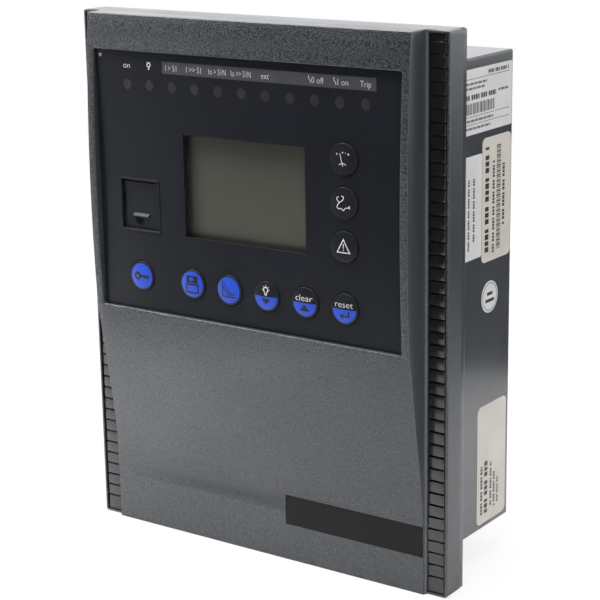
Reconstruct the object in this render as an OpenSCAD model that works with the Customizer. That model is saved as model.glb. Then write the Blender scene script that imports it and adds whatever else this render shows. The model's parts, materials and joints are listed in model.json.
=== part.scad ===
// Panel-mount protection relay.
// X runs to the right seen from the front, Y from the front to the rear, Z up.
// The origin is the middle of the flange's rear face, where the switchboard panel bears.

/* [Front frame] */
// Width of the front frame
front_w = 176; // [173:0.5:182]
// Height of the front frame
front_h = 222; // [220:0.5:230]
// Depth of the frame from its front rim to the panel seat
frame_depth = 12.6; // [11.8:0.1:13.2]
// Thickness of the flange that bears on the panel
flange_t = 3; // [2.4:0.1:3.4]
// Step in the lower edge of the flange
bottom_step = 1; // [0.4:0.1:1.6]
// Corner radius of the frame, seen from the front
corner_r = 2; // [1.2:0.1:3]
// Radius along the outer edges of the frame
edge_r = 0.8; // [0.4:0.1:1.1]
// Wall thickness of the mouldings
wall = 2.5; // [2:0.1:2.7]
// Width of the flange beside the rear housing
lip_x = 8; // [7.5:0.25:9]
// Height of the flange above and below the rear housing
lip_z = 13.75; // [12.5:0.25:15]

/* [Raised panel] */
// Width of the frame beside the raised panel
side_w = 10.6; // [9.5:0.1:11.3]
// Depth of the panel at its crown, from the seat
crown_depth = 25.25; // [24.6:0.05:26]
// Distance of the crown below the frame's upper edge
crown_drop = 73; // [67:1:79]
// Radius of the crowned upper part
crown_r = 900; // [750:10:1300]
// Depth of the panel at its foot, from the seat
foot_depth = 13.8; // [13.4:0.1:14.4]
// Height of the flat band at the panel's foot
foot_rise = 14.2; // [10:0.2:18]
// Share of the fullest radius that the hollow above the foot has
foot_hollow = 0.757; // [0.6:0.001:0.9]
// Width of the hollow flare at the panel's sides
flare_w = 1.2; // [0.6:0.1:1.6]
// Depth of the hollow flare at the panel's sides
flare_h = 6; // [4:0.5:8]

/* [Grip strips] */
// Thickness of a grip strip
strip_t = 2.2; // [1.6:0.1:2.6]
// Distance of the strip's face behind the rim
strip_set = 0.3; // [0.1:0.1:0.6]
// Gap along the strip's long edges
strip_gap = 0.35; // [0.2:0.05:0.5]
// Thickness of the rim outside the strip
rim_w = 1.2; // [0.9:0.1:1.6]
// Spacing of the ribs
rib_pitch = 5; // [4:0.25:7]
// Width of the groove between two ribs
groove_w = 0.5; // [0.4:0.1:1.2]
// Depth of the groove between two ribs
groove_d = 0.9; // [0.5:0.1:1.2]
// Height of the plain block at the strip's upper end
end_block = 2.2; // [2:0.2:6]
// Chamfer along the strip's outer edge
strip_chamfer = 0.6; // [0.3:0.1:0.9]

/* [Window] */
// Width of the panel beside the window recess
window_edge = 3.4; // [2.9:0.1:3.9]
// Height of the window recess
window_h = 107.5; // [106.5:0.1:108.2]
// Distance of the window recess below the frame's upper edge
window_drop = 14.4; // [13.8:0.1:15]
// Depth of the overlay's front face, from the seat
overlay_depth = 22; // [21.6:0.1:22.3]
// Thickness of the overlay
overlay_t = 1.5; // [1.2:0.1:1.8]
// Gap round the overlay and round trim that is set in
trim_gap = 0.15; // [0.05:0.05:0.25]
// Width of the ledge behind the overlay
ledge_w = 4; // [3.4:0.1:4.6]

/* [Display] */
// Distance from the display opening to the middle of the right column of keys
display_side = 17.9; // [16.6:0.1:19]
// Height of the display opening
display_h = 42; // [38:0.2:44]
// Height of the display's middle above the window's middle
display_rise = 0.75; // [-0.5:0.05:2]
// Thickness of the clear display window
display_window_t = 1.2; // [1:0.1:1.6]
// Overlap of the display's pieces behind the opening
display_lap = 2.4; // [1.6:0.1:3]

/* [Keys] */
// Diameter of a key
key_d = 12.4; // [11:0.1:13]
// Gap between a key and its hole
key_gap = 0.3; // [0.2:0.05:0.4]
// Travel of a key
key_travel = 0.6; // [0.3:0.05:0.7]
// Height of a key's crown above the overlay
key_rise = 0.95; // [0.7:0.05:1.2]
// Height of a key's rim above the overlay
key_rim = 0.55; // [0.3:0.05:0.65]
// Share of the lower row's length that the space after the first key takes
key_first_share = 0.264; // [0.25:0.002:0.28]
// Height of the lower row of keys above the window's lower edge
key_row_rise = 14.3; // [13:0.1:16]
// Distance of the right column of keys from the window's right edge
key_col_edge = 26.4; // [24:0.1:27.5]
// Distance of the lowest key in the right column below the display's middle
key_col_drop = 15.6; // [14.5:0.1:17]
// Spacing of the keys in the right column
key_col_pitch = 16.9; // [16:0.1:17.5]

/* [Indicators] */
// Number of indicator lamps
lamp_count = 11; // [7:1:11]
// Distance of the first and last lamp from the window's edges
lamp_edge = 16.5; // [14:0.1:20]
// Distance of the row of lamps below the window's upper edge
lamp_drop = 13.6; // [12.6:0.1:15]
// Diameter of an indicator lens
lens_d = 4.3; // [3:0.1:5]
// Distance of the legend strip from the window's left edge
legend_left = 34.65; // [28:0.05:40]
// Distance of the legend strip from the window's right edge
legend_right = 11.85; // [10:0.05:16]
// Height of the legend strip
legend_h = 5; // [4:0.1:6]
// Distance of the legend strip's middle below the window's upper edge
legend_drop = 5.9; // [5.1:0.1:6.6]

/* [Service port] */
// Distance of the service port's middle from the window's left edge
port_edge = 20.8; // [19:0.1:22]
// Distance of the service port's middle below the display's middle
port_drop = 10.3; // [9:0.1:11.6]
// Outer width of the port's frame
port_w = 21.2; // [20:0.1:22.4]
// Outer height of the port's frame
port_h = 22.6; // [21:0.1:24]
// Width of the port's frame
port_rim = 1.1; // [0.9:0.1:1.3]
// Gap round the flap
flap_gap = 0.3; // [0.2:0.05:0.4]
// Distance of the flap's face behind the front of its frame
flap_set = 1.3; // [0.8:0.1:1.4]
// Thickness of the flap
flap_t = 2; // [1.6:0.1:2.3]
// Depth of the finger scoop below the flap's lip
flap_scoop = 1; // [0.6:0.1:1.2]
// Diameter of the flap's pivot pins
pivot_d = 1.6; // [1.2:0.1:1.8]
// Running clearance of the pivot pins
pivot_clearance = 0.05; // [0.03:0.01:0.08]
// Diameter of the port socket
socket_d = 12.6; // [11.5:0.1:13.4]

/* [Name plate] */
// Height of the bare name plate
plate_h = 13; // [10:0.5:15]
// Length of the bare name plate
plate_w = 65.7; // [40:0.5:80]
// Height of the name plate's middle above the frame's lower edge
plate_rise = 22.1; // [19:0.1:25]
// Thickness of the name plate
plate_t = 0.5; // [0.3:0.05:0.55]

/* [Rear housing] */
// Depth of the rear housing behind the seat
body_depth = 49.5; // [48:0.5:60]
// Corner radius of the rear housing
body_r = 0.8; // [0.5:0.1:2.2]
// Thickest panel that the hooks and clips hold
panel_t = 3.2; // [2:0.1:4]
// Length of the hooks under the housing
hook_h = 6.5; // [5:0.1:7]
// Width of a hook
hook_w = 24; // [16:1:30]
// Distance between the hooks' middles
hook_span = 100; // [90:1:110]
// Width of a vent slot
vent_w = 3; // [2:0.1:3.4]
// Length of a vent slot
vent_l = 22; // [14:1:26]
// Number of vent slots in a row
vent_count = 10; // [6:1:12]

/* [Boards] */
// Thickness of the circuit boards
board_t = 1.6; // [1.2:0.1:2]
// Distance from the overlay to the display board
board_gap = 5.9; // [5.7:0.1:6.4]
// Distance from the main board to the rear wall
rear_room = 14.4; // [13:0.1:15]
// Distance from the processor board to the main board
board_space = 25.4; // [22:0.2:26]
// Diameter of a screw boss
boss_d = 7; // [6.2:0.1:7.4]
// Pilot hole in a screw boss
pilot_d = 2.6; // [2.2:0.1:3]

/* [Terminals] */
// Number of poles of a plug-in terminal
pole_count = 20; // [10:1:20]
// Spacing of the poles
pole_pitch = 5.08; // [4.8:0.02:5.2]
// Width of a terminal plug
plug_w = 13.4; // [12.6:0.1:14.4]
// Length of a terminal plug behind the housing
plug_l = 16.5; // [14:0.5:18]
// Distance of the terminals' middle below the housing's upper face
terminal_drop = 73.25; // [69.25:0.5:79.25]
// Distance of the first terminal from the housing's left face
terminal_edge = 24; // [22:1:28]
// Distance between the two terminals
terminal_span = 30; // [24:1:32]
// Number of current terminals
lug_count = 8; // [4:1:8]
// Spacing of the current terminals
lug_pitch = 13; // [11.5:0.1:13.2]
// Thickness of the walls between current terminals
lug_wall = 2.6; // [1.6:0.1:3]
// Distance of the current connector's middle from the housing's right face
current_edge = 44; // [42:1:48]
// Width of the current connector
current_w = 42; // [38:1:44]
// Height of the current connector behind the housing
current_l = 24; // [22:0.5:26]
// Height of the row of sockets above the housing's lower face
socket_rise = 29.25; // [26.25:0.5:35.25]
// Distance of the module socket's middle from the housing's left face
module_edge = 44; // [40:1:48]
// Distance between the module socket's two posts
post_span = 47.04; // [47.04:0.01:50]
// Place of the first network jack
jack_x = 14; // [10:1:16]
// Distance between the two network jacks
jack_span = 22; // [20:0.5:24]
// Distance of the earth screw from the housing's right face
earth_edge = 18; // [14:1:22]

/* [Hidden] */
$fn = 48;
FINE = 1440;

// Front frame and raised panel
front_top = front_h / 2;
front_side = front_w / 2;
panel_w = front_w - 2 * side_w;
panel_side = panel_w / 2;
body_w = front_w - 2 * lip_x;
body_h = front_h - 2 * lip_z;
window_w = panel_w - 2 * window_edge;
window_top = front_top - window_drop;
window_low = window_top - window_h;
window_z = (window_top + window_low) / 2;
crown_z = front_top - crown_drop;
crease_z = window_low;
crease_depth = crown_depth - crown_r + sqrt(pow(crown_r, 2) - pow(crown_z - crease_z, 2));
foot_z = foot_rise - front_top;
slope_run = crease_z - foot_z;
slope_fall = crease_depth - foot_depth;
foot_r = foot_hollow * (pow(slope_run, 2) + pow(slope_fall, 2)) / (2 * slope_fall);
slope = asin(foot_r / norm([slope_run, foot_r - slope_fall])) - atan((foot_r - slope_fall) / slope_run);
tangent_depth = foot_depth + foot_r * (1 - cos(slope));
tangent_z = foot_z + foot_r * sin(slope);
past = 1;

// Grip strips
channel_in = panel_side + flare_w;
channel_out = front_side - rim_w;
channel_depth = frame_depth - strip_set - strip_t;
strip_in = channel_in + strip_gap;
strip_out = channel_out - strip_gap;
strip_front = frame_depth - strip_set;
strip_top = front_top - rim_w - strip_gap;
rib_count = floor((2 * strip_top - end_block) / rib_pitch);

// Window stack, as depths in front of the seat
overlay_back = overlay_depth - overlay_t;
ledge_back = overlay_back - wall;
board_front = overlay_back - board_gap;
board_back = board_front - board_t;
window_corner = 1;
post_x = window_w / 2 - ledge_w / 2;
post_zs = [window_low + ledge_w / 2, window_z, window_top - ledge_w / 2];
post_d = 6;
post_pilot_d = 2.3;
post_screw_l = 3;
board_screw_play = 0.05;
board_edge = 2.4;
board_over = 0.3;
display_board_w = 2 * (post_x + board_edge);
display_board_h = window_h + 2 * board_over;

// Screws between bezel and housing
bezel_screw_z = (body_h + front_h) / 4;
bezel_screw_edge = 18;
bezel_screw_span = front_w - 2 * bezel_screw_edge;
bezel_screw_xs = [-bezel_screw_span / 2, 0, bezel_screw_span / 2];
bezel_pilot_l = 7;
bezel_pilot_room = 0.6;
bezel_head_d = 5.6;
bezel_head_h = 1.6;
screw_play = 0.1;
hole_play = 0.4;
bezel_shank_d = pilot_d - screw_play;
bezel_hole_d = pilot_d + hole_play;

// Display stack
port_x = port_edge - window_w / 2;
key_col_x = window_w / 2 - key_col_edge;
display_w = 2 * (key_col_x - display_side);
display_z = window_z + display_rise;
display_glass_t = 1.8;
display_sheet_t = 0.3;
display_window_back = overlay_back - display_window_t;
display_frame_front = display_window_back;
display_glass_front = display_frame_front - display_sheet_t;
display_light_front = display_glass_front - display_glass_t;
display_frame_wall = 0.6;
display_fit = 0.1;
display_border = 0.5;
display_frame_w = display_w + 2 * (display_lap + display_frame_wall + display_fit);
display_frame_h = display_h + 2 * (display_lap + display_frame_wall + display_fit);

// Keys and switches
key_r = key_d / 2;
key_row_z = window_low + key_row_rise;
key_col_z = display_z - key_col_drop;
key_pitch = (key_col_x - port_x) * (1 - key_first_share) / 4;
key_hole_d = key_d + 2 * key_gap;
key_collar_lap = 0.9;
key_collar_d = key_hole_d + 2 * key_collar_lap;
key_collar_t = 1;
key_collar_front = overlay_back - key_gap;
key_collar_back = key_collar_front - key_collar_t;
key_stem_d = 3;
key_corner = 0.35;
switch_w = 6;
switch_h = 3.5;
switch_front = board_front + switch_h;
switch_well_d = key_stem_d + 2 * key_gap;
stem_lap = 0.9;
key_stem_end = switch_front - stem_lap;
switch_well = stem_lap + key_travel + 2 * key_gap;

// Indicators
lamp_pitch = (window_w - 2 * lamp_edge) / (lamp_count - 1);
lamp_xs = [for (i = [0:lamp_count - 1]) lamp_edge - window_w / 2 + i * lamp_pitch];
lamp_z = window_top - lamp_drop;
lamp_h = 3;
lamp_r = 1.5;
lamp_foot_r = 1.7;
lamp_foot_t = 0.6;
lamp_tip = 0.9;
lamp_room = 0.2;
lens_collar_lap = 0.8;
lens_collar_d = lens_d + 2 * lens_collar_lap;
lens_collar_t = 0.8;
lens_stem_r = lens_d / 2 - 0.5;
lens_back = board_front + lamp_h + lamp_room;
legend_w = window_w - legend_left - legend_right;
legend_x = (legend_left - legend_right) / 2;
legend_z = window_top - legend_drop;
legend_t = 0.4;
legend_set = 0.5;

// Service port
port_z = display_z - port_drop;
port_in_w = port_w - 2 * port_rim;
port_in_h = port_h - 2 * port_rim;
port_rise = 0.3;
port_front = overlay_depth + port_rise;
port_flange = 1.4;
port_flange_t = 1;
port_floor_t = 1.5;
port_floor_front = 8;
port_floor_back = port_floor_front - port_floor_t;
flap_barrel_r = 1.3;
flap_depth = port_front - flap_set;
flap_axis_depth = flap_depth - flap_barrel_r;
flap_head = 1.2;
flap_top_gap = 0.8;
flap_axis_z = port_z + port_in_h / 2 - flap_top_gap - flap_barrel_r;
flap_low = port_z - port_in_h / 2 + flap_gap;
flap_w = port_in_w - 2 * flap_gap;
flap_pin_room = 0.25;
flap_pin_l = port_rim - flap_pin_room;
flap_stop = 0.8;
flap_notch_h = 8;
flap_notch_w = 0.8;
flap_notch_z = port_z + 1;
flap_lip_w = 8;
flap_lip_z = port_z - 4.6;
flap_lip_h = 1.4;
flap_lip_rise = 1.2;
flap_lip_t = 0.5;
flap_scoop_r = (pow(flap_lip_w / 2, 2) + pow(flap_scoop, 2)) / (2 * flap_scoop);
socket_front = 13.2;
socket_back = 4;
socket_collar_d = socket_d + 3.4;
socket_collar_t = 1.2;
socket_wall = 1.1;
socket_ring = 1.1;
socket_ring_l = 5;
socket_key = [2.2, 1.6];
socket_key_z = -3.4;
socket_contact_r = 2.4;
socket_contact_d = 1;
socket_contact_l = 4;

// Name plate
plate_z = plate_rise - front_top;
plate_set = 0.6;
plate_depth = foot_depth - plate_set;

// Rear housing and boards
body_inner = body_depth - wall;
main_back = body_inner - rear_room;
main_front = main_back - board_t;
processor_back = main_front - board_space;
processor_front = processor_back - board_t;
main_room = 2.6;
main_w = body_w - 2 * (wall + main_room);
main_h = body_h - 2 * (wall + main_room);
main_screw_edge = 4;
main_screw_mid_z = -12;
main_pilot_l = 10;
main_screw_l = 8;
main_xs = [main_screw_edge - main_w / 2, main_w / 2 - main_screw_edge];
main_zs = [main_screw_edge - main_h / 2, main_screw_mid_z, main_h / 2 - main_screw_edge];
spacer_in_x = 16;
spacer_in_z = 19.25;
spacer_x = body_w / 2 - spacer_in_x;
spacer_z = body_h / 2 - spacer_in_z;
spacer_edge = 5;
spacer_pilot_l = 9;
spacer_screw_l = 6;
processor_w = 2 * (spacer_x + spacer_edge);
processor_h = 2 * (spacer_z + spacer_edge);
spacer_af = 6;
screw_head_d = 5;
screw_head_h = 1.8;
boss_l = 6;
hook_play = 0.1;
hook_front = panel_t + hook_play;
hook_t = 3;
vent_pitch = 8;
vent_y = body_depth / 2;
clip_span = 90;
clip_w = 16;
clip_t = 0.8;
clip_rise = 6.4;
clip_play = 0.6;
clip_boss_room = 1.5;
clip_front = panel_t + clip_play;
clip_screw_y = main_front - boss_d / 2 - clip_boss_room;
clip_tail = 7;
clip_lead = 6;
clip_rear = clip_screw_y + clip_tail;
clip_bend = clip_screw_y - clip_lead;
clip_boss_l = 5;
clip_screw_l = 3;

// Terminals
pole_l = pole_count * pole_pitch;
plug_end = 1;
plug_body_l = pole_l + 2 * plug_end;
header_over = 0.3;
header_w = plug_w + 2 * header_over;
header_ear = 8;
header_l = plug_body_l + 2 * header_ear;
header_rise = 1.5;
header_rear = body_depth + header_rise;
header_wall = 1.4;
header_well = 10;
header_floor = body_depth - header_well;
ear_pilot_l = 8;
ear_screw_l = 6;
ear_z = header_l / 2 - header_ear / 2;
plug_gap = 0.2;
plug_rear = body_depth + plug_l;
plug_ear_t = 5;
plug_ear_in = 1.5;
pole_hole = 3.5;
pole_hole_l = 9;
pole_screw_d = 3.4;
pole_offset = 3;
pole_well = 4;
pole_screw_l = 3;
slot_w = 0.7;
slot_d = 0.9;
terminal_x = terminal_edge - body_w / 2;
terminal_xs = [terminal_x, terminal_x + terminal_span];
terminal_z = body_h / 2 - terminal_drop;

// Current connector
lug_l = lug_count * lug_pitch + lug_wall;
current_x = body_w / 2 - current_edge;
current_ear = 8;
current_base_l = lug_l + 2 * current_ear;
current_base_t = 4;
current_base_r = 2;
current_rear = body_depth + current_l;
current_spine = 3;
lug_depth = 11;
lug_floor = current_rear - lug_depth;
lug_reach = current_w / 2 - current_spine;
lug_x = current_x + current_w / 2 - lug_reach / 2;
lug_screw_d = 4;
lug_screw_l = 7;
lug_pilot_l = 8;
lug_head_d = 7.6;
lug_head_h = 2.6;
current_inner_in = 7;
current_inner_w = current_w - 2 * current_inner_in;
current_inner_l = lug_l - 2 * current_inner_in;
current_screw_d = 3;
current_screw_in = 5;

// Sockets in the lower row
socket_z = socket_rise - body_h / 2;
module_x = module_edge - body_w / 2;
earth_x = body_w / 2 - earth_edge;
jack_w = 16;
jack_h = 14;
jack_rise = 0.5;
jack_rear = body_depth + jack_rise;
jack_mouth_w = 11.9;
jack_mouth_h = 7.6;
jack_mouth_l = 13;
jack_mouth_z = 1;
jack_key_w = 5;
jack_key_h = 2.4;
module_plate_edge = 3;
module_plate_w = post_span + 2 * module_plate_edge;
module_plate_h = 12.5;
module_plate_t = 1;
module_plate_r = 1.5;
module_shell_w = 38.4;
module_shell_h = 8.4;
module_shell_l = 5.8;
module_shell_t = 0.5;
module_shell_cut = 1.2;
module_shell_lean = 10;
module_opening = 0.5;
module_fit = 0.05;
module_set = 0.2;
module_shoulder = 1;
module_pins = 13;
module_pin_pitch = 2.76;
module_pin_row = 2.84;
module_pin_d = 1.2;
module_pin_l = 4;
jack_post_af = 5;
jack_post_l = 5;
jack_post_hole_d = 2.4;
jack_post_shank_d = 2.8;
jack_post_shank_l = 2;
earth_d = 4;
earth_pad_d = 12;
earth_pad_t = 1.5;
earth_washer_d = 9;
earth_washer_t = 1;
earth_head_d = 7.6;
earth_head_h = 2.8;
earth_screw_l = 8;
cut_gap = 0.2;

// Solid between two places on the Y axis, from an outline in X and Z
module slab(y_front, y_back) {
  translate([0, y_back, 0])
    rotate([90, 0, 0])
      linear_extrude(y_back - y_front)
        children();
}

// Solid across the width, from an outline in Y and Z
module across(width, x = 0) {
  translate([x - width / 2, 0, 0])
    rotate([90, 0, 90])
      linear_extrude(width)
        children();
}

// Turned solid on an axis along Y, from an outline in radius and depth in front of the seat
module turned(x, z) {
  translate([x, 0, z])
    rotate([90, 0, 0])
      rotate_extrude()
        children();
}

// Round bar along Y
module rod(x, z, y_front, y_back, d) {
  translate([x, y_back, z])
    rotate([90, 0, 0])
      cylinder(d = d, h = y_back - y_front);
}

module rounded_rect(w, h, r) {
  square([w - 2 * r, h], center = true);
  square([w, h - 2 * r], center = true);
  for (x = [-1, 1], y = [-1, 1])
    translate([x * (w / 2 - r), y * (h / 2 - r)])
      circle(r);
}

module rect_at(x, z, w, h) {
  translate([x, z])
    square([w, h], center = true);
}

// Rectangle from y0 to y1 whose edge at y0 has round corners
module round_edged(half, y0, y1, r) {
  step = sign(y1 - y0);
  translate([-half, min(y0 + step * r, y1)])
    square([2 * half, abs(y1 - y0) - r]);
  translate([-half + r, min(y0, y1)])
    square([2 * (half - r), abs(y1 - y0)]);
  for (s = [-1, 1])
    translate([s * (half - r), y0 + step * r])
      circle(r);
}

// Pan head with a slot, facing the rear, and its shank
module slotted_screw(x, z, y_seat, head_d, head_h, shank_d, shank_l) {
  difference() {
    union() {
      rod(x, z, y_seat, y_seat + head_h, head_d);
      rod(x, z, y_seat - shank_l, y_seat + head_h / 2, shank_d);
    }
    translate([x, y_seat + head_h, z])
      cube([head_d + past, 2 * slot_d, slot_w], center = true);
  }
}

// Outline of the raised panel in Y and Z
module panel_profile() {
  intersection() {
    translate([crown_r - crown_depth, crown_z])
      circle(crown_r, $fn = FINE);
    translate([-crown_depth, crease_z])
      square([crown_depth - flange_t, front_top - crease_z]);
  }
  difference() {
    polygon([
      [-flange_t, -front_top],
      [-foot_depth, -front_top],
      [-foot_depth, foot_z],
      [-tangent_depth, tangent_z],
      [-crease_depth, crease_z],
      [-flange_t, crease_z]
    ]);
    translate([-foot_depth - foot_r, foot_z])
      circle(foot_r, $fn = FINE);
  }
}

// Outline of the raised panel in X and Y, with the hollow flares at its sides
flare_points = [
  for (t = [0:15:90])
    [panel_side + flare_w * (1 - cos(t)), -frame_depth - flare_h * (1 - sin(t))]
];
module panel_plan() {
  polygon(concat(
    [[panel_side, -crown_depth - past]],
    flare_points,
    [[panel_side + flare_w, 0], [-panel_side - flare_w, 0]],
    [for (i = [len(flare_points) - 1:-1:0]) [-flare_points[i][0], flare_points[i][1]]],
    [[-panel_side, -crown_depth - past]]
  ));
}

module raised_panel() {
  intersection() {
    across(front_w)
      panel_profile();
    linear_extrude(front_h, center = true)
      panel_plan();
  }
}

// The panel's inside, one wall thickness behind its face
module raised_cavity() {
  across(panel_w - 2 * wall)
    intersection() {
      translate([wall, 0])
        panel_profile();
      translate([-crown_depth, wall - front_top])
        square([crown_depth - flange_t + past, front_h - 2 * wall]);
    }
}

module frame_block() {
  intersection() {
    slab(-frame_depth, -flange_t)
      rounded_rect(front_w, front_h, corner_r);
    linear_extrude(front_h, center = true)
      round_edged(front_side, -frame_depth, -flange_t, edge_r);
    across(front_w)
      mirror([1, -1])
        round_edged(front_top, -frame_depth, -flange_t, edge_r);
  }
}

module frame_cavity() {
  slab(wall - channel_depth, past - flange_t)
    square([front_w - 2 * wall, front_h - 2 * wall], center = true);
}

module strip_channels() {
  for (s = [-1, 1])
    slab(-frame_depth - past, -channel_depth)
      rect_at(s * (channel_in + channel_out) / 2, 0, channel_out - channel_in, front_h - 2 * rim_w);
}

module window_tray() {
  intersection() {
    raised_panel();
    slab(-crown_depth, -ledge_back)
      rect_at(0, window_z, window_w + 2 * wall, window_h + 2 * wall);
  }
}

module bezel_bosses() {
  intersection() {
    raised_panel();
    for (x = bezel_screw_xs, s = [-1, 1])
      rod(x, s * bezel_screw_z, -crown_depth, -flange_t, boss_d);
  }
}

module at_posts() {
  for (x = [-post_x, post_x], z = post_zs)
    translate([x, 0, z])
      children();
}

module front_bezel() {
  color("#4a4b4d")
    difference() {
      union() {
        difference() {
          union() {
            frame_block();
            raised_panel();
          }
          raised_cavity();
          frame_cavity();
        }
        window_tray();
        bezel_bosses();
        at_posts()
          rod(0, 0, -ledge_back - past, -board_front, post_d);
      }
      strip_channels();
      slab(-crown_depth - past, -overlay_back)
        translate([0, window_z])
          rounded_rect(window_w, window_h, window_corner);
      slab(-crown_depth - past, past - ledge_back)
        rect_at(0, window_z, window_w - 2 * ledge_w, window_h - 2 * ledge_w);
      slab(-crown_depth - past, -plate_depth)
        rect_at(panel_side - plate_w / 2 + past, plate_z, plate_w + 2 * past, plate_h);
      for (x = bezel_screw_xs, s = [-1, 1])
        rod(x, s * bezel_screw_z, -flange_t - bezel_pilot_l, past - flange_t, pilot_d);
      at_posts()
        rod(0, 0, -overlay_back + past, past - board_front, post_pilot_d);
    }
}

// Ribbed strip in the right channel: a toothed outline, chamfered along its outer edge
module grip_strip() {
  grooves = [
    for (i = [0:rib_count - 1])
      let (z = strip_top - end_block - i * rib_pitch)
        each [
          [-strip_front, z],
          [groove_d - strip_front, z],
          [groove_d - strip_front, z - groove_w],
          [-strip_front, z - groove_w]
        ]
  ];
  color("#26272a")
    intersection() {
      across(strip_out - strip_in, (strip_in + strip_out) / 2)
        polygon(concat(
          [[-channel_depth, strip_top], [-strip_front, strip_top]],
          grooves,
          [[-strip_front, -strip_top], [-channel_depth, -strip_top]]
        ));
      linear_extrude(front_h, center = true)
        polygon([
          [strip_in, -channel_depth],
          [strip_in, -strip_front],
          [strip_out - strip_chamfer, -strip_front],
          [strip_out, strip_chamfer - strip_front],
          [strip_out, -channel_depth]
        ]);
    }
}

module left_grip_strip() {
  mirror([1, 0, 0])
    grip_strip();
}

module right_grip_strip() {
  grip_strip();
}

// Places of the keys: access, five of the lower row from left to right, then the column from below
key_places = concat(
  [[port_x, key_row_z]],
  [for (i = [4:-1:0]) [key_col_x - i * key_pitch, key_row_z]],
  [for (i = [2:-1:0]) [key_col_x, key_col_z + i * key_col_pitch]]
);

module window_overlay() {
  color("#1d1e21")
    difference() {
      slab(-overlay_depth, -overlay_back)
        translate([0, window_z])
          rounded_rect(window_w - 2 * trim_gap, window_h - 2 * trim_gap, window_corner);
      slab(-overlay_depth - past, past - overlay_back) {
        rect_at(0, display_z, display_w, display_h);
        rect_at(port_x, port_z, port_w + 2 * trim_gap, port_h + 2 * trim_gap);
      }
      for (p = key_places)
        rod(p[0], p[1], -overlay_depth - past, past - overlay_back, key_hole_d);
      for (x = lamp_xs)
        rod(x, lamp_z, -overlay_depth - past, past - overlay_back, lens_d + trim_gap);
      slab(-overlay_depth - past, legend_set - overlay_depth)
        rect_at(legend_x, legend_z, legend_w + trim_gap, legend_h + trim_gap);
    }
}

module legend_strip() {
  color("#48494c")
    slab(legend_set - overlay_depth - legend_t, legend_set - overlay_depth)
      rect_at(legend_x, legend_z, legend_w, legend_h);
}

module name_plate() {
  color("#242426")
    slab(-plate_depth - plate_t, -plate_depth)
      rect_at(panel_side - plate_w / 2, plate_z, plate_w - 2 * trim_gap, plate_h - 2 * trim_gap);
}

module display_window() {
  color("#c8d0cc")
    slab(-overlay_back, -display_window_back)
      rect_at(0, display_z, display_w + 2 * display_lap, display_h + 2 * display_lap);
}

module display_panel() {
  inner_w = display_frame_w - 2 * display_frame_wall - 2 * display_fit;
  inner_h = display_frame_h - 2 * display_frame_wall - 2 * display_fit;
  color("#565a50")
    slab(-display_glass_front, -display_light_front)
      rect_at(0, display_z, inner_w, inner_h);
}

module display_frame() {
  color("silver")
    difference() {
      slab(-display_frame_front, -board_front)
        rect_at(0, display_z, display_frame_w, display_frame_h);
      slab(-display_glass_front, past - board_front)
        rect_at(
          0, display_z,
          display_frame_w - 2 * display_frame_wall,
          display_frame_h - 2 * display_frame_wall
        );
      slab(-display_frame_front - past, past - display_glass_front)
        rect_at(0, display_z, display_w + 2 * display_border, display_h + 2 * display_border);
    }
}

module display_backlight() {
  color("white")
    slab(-display_light_front, -board_front)
      rect_at(0, display_z, display_w + display_lap, display_h + display_lap);
}

module display_board() {
  color("darkgreen")
    difference() {
      slab(-board_front, -board_back)
        rect_at(0, window_z, display_board_w, display_board_h);
      slab(-board_front - past, past - board_back)
        rect_at(port_x, port_z, port_w + 2 * board_over, port_h + 2 * board_over);
      at_posts()
        rod(0, 0, -board_front - past, past - board_back, post_pilot_d + hole_play);
    }
}

module display_board_screws() {
  color("silver")
    at_posts()
      slotted_screw(
        0, 0, -board_back, screw_head_d - hole_play, screw_head_h,
        post_pilot_d - 2 * board_screw_play, board_t + post_screw_l
      );
}

// Key: a turned cap with a crowned face, a collar behind the overlay and a stem
module key_cap(place) {
  face_r = key_r - key_corner;
  face = [
    for (i = [0:6])
      let (r = face_r * (1 - i / 6))
        [r, overlay_depth + key_rim + (key_rise - key_rim) * (1 - pow(r / face_r, 2))]
  ];
  corner = [
    for (a = [0:22.5:67.5])
      [face_r + key_corner * cos(a), overlay_depth + key_rim + key_corner * (sin(a) - 1)]
  ];
  color("#3c62e6")
    turned(place[0], place[1])
      polygon(concat(
        [[0, key_stem_end], [key_stem_d / 2, key_stem_end], [key_stem_d / 2, key_collar_back]],
        [[key_collar_d / 2, key_collar_back], [key_collar_d / 2, key_collar_front]],
        [[key_r, key_collar_front]],
        corner,
        face
      ));
}

module key_access() {
  key_cap(key_places[0]);
}

module key_settings() {
  key_cap(key_places[1]);
}

module key_curve() {
  key_cap(key_places[2]);
}

module key_down() {
  key_cap(key_places[3]);
}

module key_up() {
  key_cap(key_places[4]);
}

module key_enter() {
  key_cap(key_places[5]);
}

module key_meter() {
  key_cap(key_places[6]);
}

module key_diagnosis() {
  key_cap(key_places[7]);
}

module key_alarm() {
  key_cap(key_places[8]);
}

// Switch under each key, with a well that guides the key's stem
module key_switches() {
  color("#303030")
    for (p = key_places)
      difference() {
        slab(-switch_front, -board_front)
          rect_at(p[0], p[1], switch_w, switch_w);
        rod(p[0], p[1], -switch_front - past, switch_well - switch_front, switch_well_d);
      }
}

module indicator_lamps() {
  color("#d8d8d0")
    for (x = lamp_xs)
      turned(x, lamp_z)
        polygon([
          [0, board_front], [lamp_foot_r, board_front], [lamp_foot_r, board_front + lamp_foot_t],
          [lamp_r, board_front + lamp_foot_t], [lamp_r, board_front + lamp_h - lamp_tip],
          [lamp_tip, board_front + lamp_h], [0, board_front + lamp_h]
        ]);
}

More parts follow.
